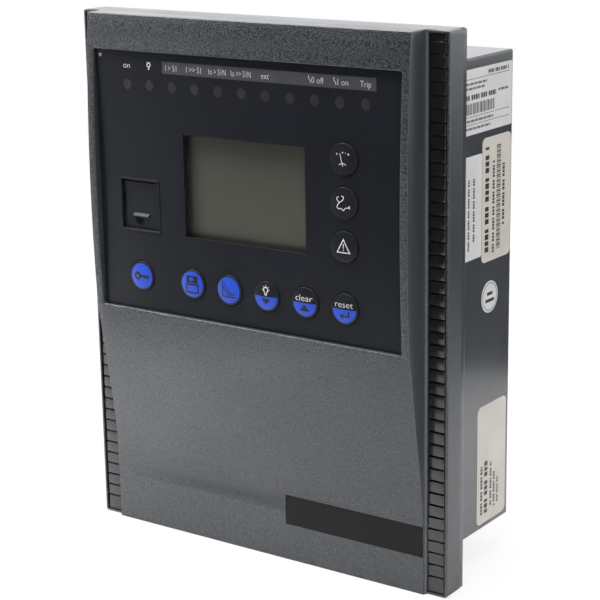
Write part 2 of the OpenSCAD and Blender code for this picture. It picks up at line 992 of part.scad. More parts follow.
// Light guides: each fills its hole in the overlay and is held by a collar behind it
module indicator_lenses() {
  color("#3a3b3e")
    for (x = lamp_xs)
      turned(x, lamp_z)
        polygon([
          [0, lens_back], [lens_stem_r, lens_back], [lens_stem_r, overlay_back - lens_collar_t],
          [lens_collar_d / 2, overlay_back - lens_collar_t], [lens_collar_d / 2, overlay_back],
          [lens_d / 2, overlay_back], [lens_d / 2, overlay_depth], [0, overlay_depth]
        ]);
}

// Pocket behind the flap, with the frame that shows, the flap's pivot holes and its stop
module port_housing() {
  color("#2a2b2e")
    difference() {
      union() {
        slab(-port_front, -port_floor_back)
          rect_at(port_x, port_z, port_w, port_h);
        slab(-overlay_back, port_flange_t - overlay_back)
          rect_at(port_x, port_z, port_w + 2 * port_flange, port_h + 2 * port_flange);
      }
      difference() {
        slab(-port_front - past, -port_floor_front)
          rect_at(port_x, port_z, port_in_w, port_in_h);
        slab(flap_t + flap_gap - flap_depth, -port_floor_front)
          rect_at(port_x, port_z - port_in_h / 2, port_in_w, 2 * flap_stop);
      }
      rod(port_x, port_z, -port_floor_front - past, past - port_floor_back, socket_d + 2 * trim_gap);
      translate([port_x - port_w / 2 - past, -flap_axis_depth, flap_axis_z])
        rotate([0, 90, 0])
          cylinder(d = pivot_d + 2 * pivot_clearance, h = port_w + 2 * past);
    }
}

// Flap: a plate that hangs from a barrel, with pivot pins, side notches and a scooped finger lip
module port_flap() {
  color("#323538")
    difference() {
      union() {
        across(flap_w, port_x) {
          translate([-flap_axis_depth, flap_axis_z])
            circle(flap_barrel_r);
          polygon([
            [-flap_depth, flap_low],
            [flap_t - flap_depth, flap_low],
            [flap_t - flap_depth, flap_axis_z],
            [-flap_axis_depth, flap_axis_z],
            [-flap_axis_depth, flap_axis_z + flap_head],
            [-flap_depth, flap_axis_z + flap_head]
          ]);
        }
        across(flap_lip_w, port_x)
          polygon([
            [flap_lip_t - flap_depth, flap_lip_z + flap_lip_h],
            [-flap_depth - flap_lip_rise, flap_lip_z],
            [-flap_depth - flap_lip_rise, flap_lip_z - flap_lip_t],
            [flap_lip_t - flap_depth, flap_lip_z - flap_lip_t]
          ]);
        translate([port_x - flap_w / 2 - flap_pin_l, -flap_axis_depth, flap_axis_z])
          rotate([0, 90, 0])
            cylinder(d = pivot_d, h = flap_w + 2 * flap_pin_l);
      }
      for (s = [-1, 1])
        slab(-flap_depth - past, flap_t + past - flap_depth)
          rect_at(port_x + s * flap_w / 2, flap_notch_z, 2 * flap_notch_w, flap_notch_h);
      intersection() {
        translate([port_x, flap_scoop - flap_scoop_r - flap_depth, flap_lip_z - flap_lip_t])
          sphere(flap_scoop_r);
        slab(-flap_depth - past, flap_t - flap_depth)
          rect_at(port_x, flap_lip_z - flap_lip_t - flap_lip_w / 2, flap_w, flap_lip_w);
      }
    }
}

// Round six-way socket: shell, ring gap, keyway and contact holes
module port_socket() {
  color("#1c1c1e")
    difference() {
      union() {
        rod(port_x, port_z, -socket_front, -socket_back, socket_d);
        rod(port_x, port_z, -port_floor_back, socket_collar_t - port_floor_back, socket_collar_d);
      }
      difference() {
        rod(port_x, port_z, -socket_front - past, socket_ring_l - socket_front, socket_d - 2 * socket_wall);
        rod(
          port_x, port_z, -socket_front - 2 * past, socket_ring_l + past - socket_front,
          socket_d - 2 * (socket_wall + socket_ring)
        );
      }
      slab(-socket_front - past, socket_ring_l - socket_front)
        rect_at(port_x, port_z + socket_key_z, socket_key[0], socket_key[1]);
      for (a = [30:60:330])
        rod(
          port_x + socket_contact_r * cos(a), port_z + socket_contact_r * sin(a),
          -socket_front - past, socket_contact_l - socket_front, socket_contact_d
        );
    }
}

module at_bezel_screws() {
  for (x = bezel_screw_xs, s = [-1, 1])
    translate([x, 0, s * bezel_screw_z])
      children();
}

// Countersunk screw whose head is flush with the flange's rear face
module countersink(gap) {
  translate([0, gap, 0])
    rotate([90, 0, 0])
      cylinder(d1 = bezel_head_d + 2 * gap, d2 = bezel_shank_d, h = bezel_head_h + gap);
}

module bezel_screws() {
  color("silver")
    at_bezel_screws()
      difference() {
        union() {
          countersink(0);
          rod(0, 0, bezel_pilot_room - flange_t - bezel_pilot_l, -bezel_head_h / 2, bezel_shank_d);
        }
        cube([bezel_head_d, 2 * slot_d, slot_w], center = true);
      }
}

module flange_block() {
  intersection() {
    slab(-flange_t, 0)
      difference() {
        rounded_rect(front_w, front_h, corner_r);
        rect_at(0, -front_top, front_w, 2 * bottom_step);
      }
    linear_extrude(front_h, center = true)
      round_edged(front_side, 0, -flange_t, edge_r);
    across(front_w)
      mirror([1, -1])
        round_edged(front_top, 0, -flange_t, edge_r);
  }
}

module housing_hooks() {
  for (s = [-1, 1])
    across(hook_w, s * hook_span / 2)
      polygon([
        [hook_front, -body_h / 2 + wall / 2],
        [hook_front, -body_h / 2 - hook_h],
        [hook_front + hook_t, -body_h / 2 - hook_h],
        [hook_front + 3 * hook_t, -body_h / 2],
        [hook_front + 3 * hook_t, -body_h / 2 + wall / 2]
      ]);
}

module at_main_screws() {
  for (x = main_xs, z = main_zs)
    translate([x, 0, z])
      children();
}

module at_clips() {
  for (s = [-1, 1])
    translate([s * clip_span / 2, 0, body_h / 2])
      children();
}

module at_jacks() {
  for (i = [0, 1])
    translate([jack_x + i * jack_span, 0, socket_z])
      children();
}

module at_jack_posts() {
  for (s = [-1, 1])
    translate([module_x + s * post_span / 2, 0, socket_z])
      children();
}

module at_current_screws() {
  for (x = [-1, 1], z = [-1, 1])
    translate([
      current_x + x * (current_w / 2 - current_screw_in), 0,
      terminal_z + z * (current_base_l - current_ear) / 2
    ])
      children();
}

module rear_openings() {
  slab(body_inner - past, body_depth + past) {
    for (x = terminal_xs)
      rect_at(x, terminal_z, header_w + 2 * cut_gap, header_l + 2 * cut_gap);
    rect_at(current_x, terminal_z, current_inner_w + 2 * cut_gap, current_inner_l + 2 * cut_gap);
    rect_at(module_x, socket_z, module_shell_w + 2 * module_opening, module_shell_h + 2 * module_opening);
    for (i = [0, 1])
      rect_at(jack_x + i * jack_span, socket_z, jack_w + 2 * cut_gap, jack_h + 2 * cut_gap);
  }
  at_jack_posts()
    rod(0, 0, body_inner - past, body_depth + past, jack_post_shank_d + 2 * cut_gap);
}

module vent_slots() {
  for (i = [0:vent_count - 1])
    translate([(i - (vent_count - 1) / 2) * vent_pitch, vent_y, 0])
      cube([vent_w, vent_l, body_h + 2 * past], center = true);
}

// Tub with the flange, the hooks, the vents, the connector openings and the screw bosses
module rear_housing() {
  color("#5c5e62")
    difference() {
      union() {
        difference() {
          union() {
            flange_block();
            slab(-flange_t / 2, body_depth)
              rounded_rect(body_w, body_h, body_r);
            housing_hooks();
          }
          slab(-flange_t - past, body_inner)
            square([body_w - 2 * wall, body_h - 2 * wall], center = true);
          vent_slots();
          rear_openings();
          at_bezel_screws() {
            countersink(cut_gap);
            rod(0, 0, -flange_t - past, 0, bezel_hole_d);
          }
        }
        at_main_screws()
          rod(0, 0, main_back, body_inner + past, boss_d);
        at_clips()
          translate([0, clip_screw_y, -wall - clip_boss_l])
            cylinder(d = boss_d, h = clip_boss_l + past);
        rod(earth_x, socket_z, body_inner - boss_l, body_depth + earth_pad_t, earth_pad_d);
        at_current_screws()
          rod(0, 0, body_inner - boss_l, body_inner + past, boss_d);
      }
      at_main_screws()
        rod(0, 0, main_back - past, main_back + main_pilot_l, pilot_d);
      at_clips()
        translate([0, clip_screw_y, -wall - clip_boss_l + past])
          cylinder(d = pilot_d, h = wall + clip_boss_l);
      rod(
        earth_x, socket_z, body_inner - boss_l + past, body_depth + earth_pad_t + past,
        earth_d + 2 * screw_play
      );
      at_current_screws()
        rod(0, 0, body_inner - boss_l + past, body_depth + past, current_screw_d + 2 * screw_play);
    }
}

module main_board() {
  color("darkgreen")
    difference() {
      slab(main_front, main_back)
        square([main_w, main_h], center = true);
      at_main_screws()
        rod(0, 0, main_front - past, main_back + past, pilot_d + hole_play);
    }
}

// Screws driven from the front through the main board into the housing's bosses
module main_board_screws() {
  color("silver")
    at_main_screws()
      mirror([0, 1, 0])
        slotted_screw(
          0, 0, -main_front, screw_head_d, screw_head_h,
          pilot_d - 2 * screw_play, board_t + main_screw_l
        );
}

module at_spacers() {
  for (x = [-spacer_x, spacer_x], z = [-spacer_z, spacer_z])
    translate([x, 0, z])
      children();
}

module board_spacers() {
  color("silver")
    at_spacers()
      difference() {
        translate([0, main_front, 0])
          rotate([90, 0, 0])
            cylinder(d = spacer_af / cos(30), h = board_space, $fn = 6);
        rod(0, 0, processor_back - past, processor_back + spacer_pilot_l, pilot_d);
      }
}

module processor_board() {
  color("darkgreen")
    difference() {
      slab(processor_front, processor_back)
        square([processor_w, processor_h], center = true);
      at_spacers()
        rod(0, 0, processor_front - past, processor_back + past, pilot_d + hole_play);
    }
}

module processor_board_screws() {
  color("silver")
    at_spacers()
      mirror([0, 1, 0])
        slotted_screw(
          0, 0, -processor_front, screw_head_d, screw_head_h,
          pilot_d - 2 * screw_play, board_t + spacer_screw_l
        );
}

// Each chip: place in X and Z, width, height and thickness
chips = [[-26, 40, 28, 28, 3.4], [-26, -4, 20, 20, 2.6], [-24, -46, 14, 20, 2.7]];

module processor_chips() {
  color("#202020")
    for (c = chips)
      slab(processor_front - c[4], processor_front)
        rect_at(c[0], c[1], c[2], c[3]);
}

// Flat cable from the display board down to the processor board
cable_x = 26;
cable_w = 24;
cable_t = 0.9;
cable_rise = 22.9;
cable_top = window_low + cable_rise;
cable_drop = 32;
cable_low = cable_top - cable_drop;
cable_header = [30, 5, 7];
module display_cable() {
  upper = cable_header[1] - board_back;
  lower = processor_front - cable_header[1];
  run = (upper + lower) / 2;
  color("#8a8c90")
    across(cable_w, cable_x)
      polygon([
        [upper, cable_top], [run + cable_t, cable_top], [run + cable_t, cable_low + cable_t],
        [lower, cable_low + cable_t], [lower, cable_low], [run, cable_low],
        [run, cable_top - cable_t], [upper, cable_top - cable_t]
      ]);
}

module cable_headers() {
  color("#303030") {
    slab(-board_back, cable_header[1] - board_back)
      rect_at(cable_x, cable_top - cable_t / 2, cable_header[0], cable_header[2]);
    slab(processor_front - cable_header[1], processor_front)
      rect_at(cable_x, cable_low + cable_t / 2, cable_header[0], cable_header[2]);
  }
}

// Solid that stands on the front of the main board: its place in X and Z, and its width, depth and height
module on_main(place, size) {
  slab(main_front - size[1], main_front)
    rect_at(place[0], place[1], size[0], size[2]);
}

relay_edge = 28.9;
relay_place = [relay_edge - main_w / 2, 52];
relay_pitch = 16;
relay_size = [28.5, 15.5, 12.5];
module output_relays() {
  color("#1f3f7f")
    for (i = [0:3])
      on_main(relay_place - [0, i * relay_pitch], relay_size);
}

// Laminated core with its winding
supply_edge = 38.9;
supply_place = [supply_edge - main_w / 2, -46];
core_size = [36, 21, 12];
winding_size = [22, 19, 28];
module supply_transformer() {
  color("#8f8a80") {
    on_main(supply_place, core_size);
    on_main(supply_place, winding_size);
  }
}

capacitor_d = 12.5;
capacitor_h = 20;
capacitor_place = [-10, -56];
capacitor_pitch = [14, 18];
module supply_capacitors() {
  color("#27304a")
    for (i = [0, 1], j = [0, 1])
      rod(
        capacitor_place[0] + i * capacitor_pitch[0], capacitor_place[1] + j * capacitor_pitch[1],
        main_front - capacitor_h, main_front, capacitor_d
      );
}

sensor_shift = 4;
sensor_place = [current_x + sensor_shift, 60];
sensor_pitch = 26;
sensor_size = [26, 18, 22];
module current_transformers() {
  color("#2b2b2b")
    for (i = [0:3])
      on_main(sensor_place - [0, i * sensor_pitch], sensor_size);
}

// Header on the main board: a shroud that shows through the rear wall
module terminal_header(x) {
  color("#2f5f3a")
    difference() {
      slab(main_back, header_rear)
        rect_at(x, terminal_z, header_w, header_l);
      slab(header_floor, header_rear + past)
        rect_at(x, terminal_z, header_w - 2 * header_wall, plug_body_l + 2 * plug_gap);
      for (s = [-1, 1])
        rod(x, terminal_z + s * ear_z, header_rear - ear_pilot_l, header_rear + past, pilot_d);
    }
}

module terminal_header_a() {
  terminal_header(terminal_xs[0]);
}

module terminal_header_b() {
  terminal_header(terminal_xs[1]);
}

pole_zs = [for (i = [0:pole_count - 1]) terminal_z + (i - (pole_count - 1) / 2) * pole_pitch];

// Plug: wire entries in one row, screw wells in the other, an ear with a screw at each end
module terminal_plug(x) {
  color("#35363a")
    difference() {
      union() {
        slab(header_floor + plug_gap, header_rear + plug_gap)
          rect_at(x, terminal_z, header_w - 2 * header_wall - 2 * plug_gap, plug_body_l);
        slab(header_rear + plug_gap / 2, plug_rear)
          rect_at(x, terminal_z, plug_w, plug_body_l);
        slab(header_rear + plug_gap / 2, header_rear + plug_ear_t)
          rect_at(x, terminal_z, plug_w - 2 * plug_ear_in, header_l);
      }
      for (z = pole_zs) {
        slab(plug_rear - pole_hole_l, plug_rear + past)
          rect_at(x - pole_offset, z, pole_hole, pole_hole);
        rod(x + pole_offset, z, plug_rear - pole_well, plug_rear + past, pole_screw_d + 2 * screw_play);
      }
      for (s = [-1, 1])
        rod(
          x, terminal_z + s * ear_z, header_rear - past, header_rear + plug_ear_t + past,
          pilot_d + hole_play
        );
    }
}

module terminal_plug_a() {
  terminal_plug(terminal_xs[0]);
}

module terminal_plug_b() {
  terminal_plug(terminal_xs[1]);
}

module terminal_screws() {
  color("silver")
    for (x = terminal_xs, z = pole_zs)
      difference() {
        rod(x + pole_offset, z, plug_rear - pole_well, plug_rear - pole_well + pole_screw_l, pole_screw_d);
        translate([x + pole_offset, plug_rear - pole_well + pole_screw_l, z])
          cube([pole_screw_d + past, 2 * slot_d, slot_w], center = true);
      }
}

module plug_screws() {
  color("silver")
    for (x = terminal_xs, s = [-1, 1])
      slotted_screw(
        x, terminal_z + s * ear_z, header_rear + plug_ear_t,
        screw_head_d, screw_head_h, pilot_d - 2 * screw_play, plug_ear_t + ear_screw_l
      );
}

lug_zs = [for (i = [0:lug_count - 1]) terminal_z + (i - (lug_count - 1) / 2) * lug_pitch];

// Current connector: a moulded block with one bay for each ring lug, open to the rear and to the side
module current_connector() {
  color("#3a3b3f")
    difference() {
      union() {
        slab(main_back + cut_gap, body_depth + past)
          rect_at(current_x, terminal_z, current_inner_w, current_inner_l);
        slab(body_depth, body_depth + current_base_t)
          translate([current_x, terminal_z])
            rounded_rect(current_w, current_base_l, current_base_r);
        slab(body_depth, current_rear)
          rect_at(current_x, terminal_z, current_w, lug_l);
      }
      for (z = lug_zs) {
        slab(lug_floor, current_rear + past)
          rect_at(lug_x + past / 2, z, lug_reach + past, lug_pitch - lug_wall);
        rod(lug_x, z, lug_floor - lug_pilot_l, lug_floor + past, lug_screw_d + 2 * screw_play);
      }
      at_current_screws()
        rod(
          0, 0, body_depth - past, body_depth + current_base_t + past,
          current_screw_d + hole_play
        );
    }
}

module current_terminal_screws() {
  color("#c8a850")
    for (z = lug_zs)
      slotted_screw(lug_x, z, lug_floor, lug_head_d, lug_head_h, lug_screw_d, lug_screw_l);
}

module current_connector_screws() {
  color("silver")
    at_current_screws()
      slotted_screw(
        0, 0, body_depth + current_base_t, screw_head_d, screw_head_h,
        current_screw_d, current_base_t + boss_l
      );
}

// Network jacks on the main board, with the keyed mouth facing the rear
module network_jacks() {
  color("#d8d8d2")
    at_jacks()
      difference() {
        slab(main_back, jack_rear)
          square([jack_w, jack_h], center = true);
        slab(jack_rear - jack_mouth_l, jack_rear + past) {
          rect_at(0, jack_mouth_z, jack_mouth_w, jack_mouth_h);
          rect_at(0, jack_mouth_z - jack_mouth_h / 2, jack_key_w, 2 * jack_key_h);
        }
      }
}

// D-shaped outline: wide at the top, narrow at the bottom
module d_outline(w, h) {
  lean = h * tan(module_shell_lean);
  cut = module_shell_cut;
  polygon([
    [-w / 2 + cut, h / 2], [w / 2 - cut, h / 2], [w / 2, h / 2 - cut],
    [w / 2 - lean, cut - h / 2], [w / 2 - lean - cut, -h / 2],
    [-w / 2 + lean + cut, -h / 2], [-w / 2 + lean, cut - h / 2], [-w / 2, h / 2 - cut]
  ]);
}

// Metal plate and shell of the module socket
module module_socket() {
  color("silver")
    difference() {
      union() {
        slab(body_depth, body_depth + module_plate_t)
          translate([module_x, socket_z])
            rounded_rect(module_plate_w, module_plate_h, module_plate_r);
        slab(body_depth, body_depth + module_plate_t + module_shell_l)
          translate([module_x, socket_z])
            d_outline(module_shell_w, module_shell_h);
      }
      slab(body_depth - past, body_depth + module_plate_t + module_shell_l + past)
        translate([module_x, socket_z])
          d_outline(module_shell_w - 2 * module_shell_t, module_shell_h - 2 * module_shell_t);
      at_jack_posts()
        rod(
          0, 0, body_depth - past, body_depth + module_plate_t + past,
          jack_post_shank_d + 2 * screw_play
        );
    }
}

module module_socket_insert() {
  gap = module_shell_t + module_fit;
  rear = body_depth + module_plate_t + module_shell_l - module_set;
  color("#1e1e20")
    difference() {
      union() {
        slab(main_back, body_depth - module_fit)
          rect_at(module_x, socket_z, module_shell_w - 2 * module_shoulder, module_shell_h);
        slab(body_depth - past, rear)
          translate([module_x, socket_z])
            d_outline(module_shell_w - 2 * gap, module_shell_h - 2 * gap);
      }
      for (row = [0, 1], i = [0:module_pins - 1 - row])
        rod(
          module_x + (i - (module_pins - 1 - row) / 2) * module_pin_pitch,
          socket_z + (0.5 - row) * module_pin_row,
          rear - module_pin_l, rear + past, module_pin_d
        );
    }
}

module module_socket_posts() {
  seat = body_depth + module_plate_t;
  color("silver")
    at_jack_posts()
      difference() {
        union() {
          translate([0, seat + jack_post_l, 0])
            rotate([90, 0, 0])
              cylinder(d = jack_post_af / cos(30), h = jack_post_l, $fn = 6);
          rod(0, 0, body_inner - jack_post_shank_l, seat + past, jack_post_shank_d);
        }
        rod(0, 0, seat - past, seat + jack_post_l + past, jack_post_hole_d);
      }
}

module earth_washer() {
  seat = body_depth + earth_pad_t;
  color("#c8a850")
    difference() {
      rod(earth_x, socket_z, seat, seat + earth_washer_t, earth_washer_d);
      rod(earth_x, socket_z, seat - past, seat + earth_washer_t + past, earth_d + hole_play);
    }
}

module earth_screw() {
  color("#c8a850")
    slotted_screw(
      earth_x, socket_z, body_depth + earth_pad_t + earth_washer_t,
      earth_head_d, earth_head_h, earth_d, earth_screw_l
    );
}

// Spring leaves on top of the housing, which press on the back of the panel
module mounting_clips() {
  color("#b8bac0")
    at_clips()
      difference() {
        across(clip_w)
          polygon([
            [clip_rear, 0], [clip_rear, clip_t], [clip_bend + clip_t / 4, clip_t],
            [clip_front + clip_t / 2, clip_rise + clip_t], [clip_front, clip_rise], [clip_bend, 0]
          ]);
        translate([0, clip_screw_y, -past])
          cylinder(d = pilot_d + hole_play, h = clip_t + 2 * past);
      }
}

module clip_screws() {
  color("silver")
    at_clips()
      translate([0, clip_screw_y, clip_t])
        difference() {
          union() {
            cylinder(d = screw_head_d, h = screw_head_h);
            translate([0, 0, -clip_t - wall - clip_screw_l])
              cylinder(d = pilot_d - 2 * screw_play, h = clip_t + wall + clip_screw_l + screw_head_h / 2);
          }
          translate([0, 0, screw_head_h])
            cube([screw_head_d + past, slot_w, 2 * slot_d], center = true);
        }
}

front_bezel();
left_grip_strip();
right_grip_strip();
window_overlay();
legend_strip();
name_plate();
display_window();
display_panel();
display_frame();
display_backlight();
display_board();
display_board_screws();
key_switches();
indicator_lamps();
indicator_lenses();
key_access();
key_settings();
key_curve();
key_down();
key_up();
key_enter();
key_meter();
key_diagnosis();
key_alarm();
port_housing();
port_flap();
port_socket();
rear_housing();
bezel_screws();
main_board();
main_board_screws();
board_spacers();
processor_board();
processor_board_screws();
processor_chips();
display_cable();
cable_headers();
output_relays();
supply_transformer();
supply_capacitors();
current_transformers();
terminal_header_a();
terminal_header_b();
terminal_plug_a();
terminal_plug_b();
terminal_screws();
plug_screws();
current_connector();
current_terminal_screws();
current_connector_screws();
network_jacks();
module_socket();
module_socket_insert();
module_socket_posts();
earth_screw();
earth_washer();
mounting_clips();
clip_screws();
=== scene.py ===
"""Looks of the panel-mount protection relay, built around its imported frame."""
import json
import math

import bmesh
import bpy
from bpy.props import FloatProperty, FloatVectorProperty, IntProperty, PointerProperty
from mathutils import Matrix, Vector
from mathutils.geometry import tessellate_polygon


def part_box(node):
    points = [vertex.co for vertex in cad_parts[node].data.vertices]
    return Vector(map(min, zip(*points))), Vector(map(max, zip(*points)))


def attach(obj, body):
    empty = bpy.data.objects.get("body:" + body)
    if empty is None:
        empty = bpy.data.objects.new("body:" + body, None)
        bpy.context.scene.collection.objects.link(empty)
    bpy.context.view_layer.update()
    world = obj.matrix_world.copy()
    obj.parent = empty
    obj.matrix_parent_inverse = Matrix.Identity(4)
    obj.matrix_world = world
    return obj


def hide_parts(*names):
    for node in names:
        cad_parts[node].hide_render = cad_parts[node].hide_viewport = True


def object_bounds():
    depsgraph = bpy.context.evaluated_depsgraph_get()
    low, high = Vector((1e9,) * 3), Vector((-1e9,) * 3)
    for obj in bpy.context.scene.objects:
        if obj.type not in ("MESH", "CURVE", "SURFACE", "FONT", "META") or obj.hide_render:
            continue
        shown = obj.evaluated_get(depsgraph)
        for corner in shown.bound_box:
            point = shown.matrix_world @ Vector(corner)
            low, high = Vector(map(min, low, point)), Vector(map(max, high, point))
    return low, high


bl_info = {
    "name": "Protection relay looks",
    "version": (1, 0, 0),
    "blender": (4, 5, 0),
    "location": "View3D > Sidebar > Relay",
    "description": "Finishes, prints, labels and contacts of a panel-mount protection relay",
    "category": "Object",
}

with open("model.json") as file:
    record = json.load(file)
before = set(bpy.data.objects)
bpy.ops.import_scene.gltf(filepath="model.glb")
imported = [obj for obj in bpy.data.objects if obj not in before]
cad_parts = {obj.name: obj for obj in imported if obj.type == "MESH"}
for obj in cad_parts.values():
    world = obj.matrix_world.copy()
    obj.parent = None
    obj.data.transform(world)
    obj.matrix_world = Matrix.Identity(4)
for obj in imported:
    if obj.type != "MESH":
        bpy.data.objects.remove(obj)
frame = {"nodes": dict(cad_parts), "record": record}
CAD_BOX = [list(corner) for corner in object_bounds()]
NODES = frame["nodes"]
SLOT_OF = {part["node"]: part["material_slot"] for part in frame["record"]["subparts"]}
MM = 0.001
HOUSING = "housing"

# Places that the CAD boxes don't give
WALL_INSET = 8 * MM  # right wall of the housing, in from the edge of its flange
REAR_WALL = 49.5 * MM  # rear wall of the housing, behind the panel
CHANNEL_GAP = 1.55 * MM  # raised panel's side, in from a grip strip
DISPLAY_LIP = 2 * MM  # edge of the display window that the film covers
LENS_R = 2.95 * MM
KEY_FACE_R, KEY_FALL = 5.85, 0.4  # crowned face of a key and its fall at the rim, in mm
POLES, POLE_PITCH = 20, 5.08  # of a terminal plug, pitch in mm
BAYS, BAY_PITCH = 8, 13  # of the current connector, pitch in mm
JACK_PLACES, JACK_PITCH = (14 * MM, 36 * MM), 1.02 * MM
PIN_ROWS, PIN_PITCH, PIN_ROW_GAP = (13, 12), 2.76 * MM, 2.84 * MM  # of the module socket

# Contacts
JACK_FOOT = (12.6 * MM, 3.4 * MM)  # foot of the wires, in from the jack's rear and its top
WIRE_REACH = 8 * MM
SLEEVE_R, SLEEVE_L, SLEEVE_IN = 0.56 * MM, 2.8 * MM, 2.4 * MM  # last one: its middle, in from the rear
CLAMP_R, CLAMP_H = 2.2 * MM, 1.2 * MM
CLAMP_IN, CLAMP_ASIDE = 8 * MM, 3 * MM  # in from the plug's rear, aside of its middle

NOISE_SPAN = (0.3, 0.7)  # most of the noise lies in it
FLANK = (-0.85, -0.6)  # direction along Y between which a front face turns into a flank
SOFT_ANGLE = 28  # degrees up to which the mouldings are shaded smooth


def linear(*levels):
    """Linear colour of a shade given in display levels from 0 to 255."""
    shades = [level / 255 for level in levels]
    return tuple(s / 12.92 if s <= 0.04045 else ((s + 0.055) / 1.055) ** 2.4 for s in shades)


def colour(name, shade, words):
    """Colour property with a default shade."""
    return FloatVectorProperty(
        name=name, description=words, subtype="COLOR", size=3, min=0.0, max=1.0, default=shade
    )


def length(name, millimetres, words):
    """Length property with a default in millimetres."""
    return FloatProperty(name=name, description=words, unit="LENGTH", min=0.0, default=millimetres * MM)


class RelayColours(bpy.types.PropertyGroup):
    """Colours of the mouldings, films and prints."""

    bezel: colour("Bezel", linear(51, 55, 60), "Grained moulding of the front")
    grip: colour("Grip strips", linear(22, 23, 26), "Glossy ribbed strips")
    overlay: colour("Window", linear(35, 37, 43), "Film over the window")
    legend: colour("Legend strip", linear(74, 75, 77), "Card behind the lamp legends")
    display: colour("Display", linear(86, 88, 80), "Resting display glass")
    blue: colour("Blue print", linear(38, 80, 208), "Printed discs on the keys")
    ink: colour("White print", linear(236, 237, 239), "Printed legends and signs")
    dark: colour("Black print", linear(9, 10, 13), "Signs on the blue discs")
    housing: colour("Housing", linear(64, 67, 71), "Smooth moulding behind the panel")
    paper: colour("White label", linear(216, 217, 217), "Blank paper labels")
    buff: colour("Buff label", linear(208, 204, 195), "Blank pale brown labels")
    mark: colour("Label lines", linear(36, 37, 40), "Plain lines on the labels")


class RelaySizes(bpy.types.PropertyGroup):
    """Sizes of the prints, edges and contacts."""

    print_lift: length("Print thickness", 0.025, "Height of a print above its surface")
    disc_r: length("Blue disc", 5.4, "Radius of the printed disc on a key")
    legend_h: length("Legend height", 2.4, "Height of the capitals above the lamps")
    word_h: length("Key word height", 2.5, "Height of the capitals on a key")
    edge_r: length("Panel edge", 0.45, "Rounding of the raised panel's edges")
    recess_r: length("Recess edge", 0.55, "Rounding of the window recess")
    port_r: length("Port edge", 0.25, "Rounding of the port's frame")
    rib_r: length("Rib edge", 0.28, "Rounding of the ribs on the grip strips")
    label_t: length("Label thickness", 0.12, "Thickness of the paper labels")
    number_h: length("Number height", 1.5, "Height of the terminal numbers")
    wire_d: length("Contact wire", 0.42, "Thickness of a contact in a network jack")
    contacts: IntProperty(
        name="Contacts", description="Contacts in a network jack", default=8, min=2, max=10
    )


def colours():
    return bpy.context.scene.relay_colours


def sizes():
    return bpy.context.scene.relay_sizes


def middle(node):
    """Middle of a CAD node's box."""
    low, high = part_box(node)
    return (low + high) / 2


def new_object(name, data):
    """New object in the scene."""
    made = bpy.data.objects.new(name, data)
    bpy.context.scene.collection.objects.link(made)
    return made


def new_mesh(name, shape):
    """Mesh of a shape that is done with."""
    mesh = bpy.data.meshes.new(name)
    shape.to_mesh(mesh)
    shape.free()
    return mesh


def new_node(tree, kind, inputs, **settings):
    """Node with its settings, and with a value or a link on each socket that is named."""
    node = tree.nodes.new(kind)
    for key, value in settings.items():
        setattr(node, key, value)
    for key, value in inputs.items():
        if isinstance(value, bpy.types.NodeSocket):
            tree.links.new(value, node.inputs[key])
        else:
            node.inputs[key].default_value = value
    return node


# Finishes


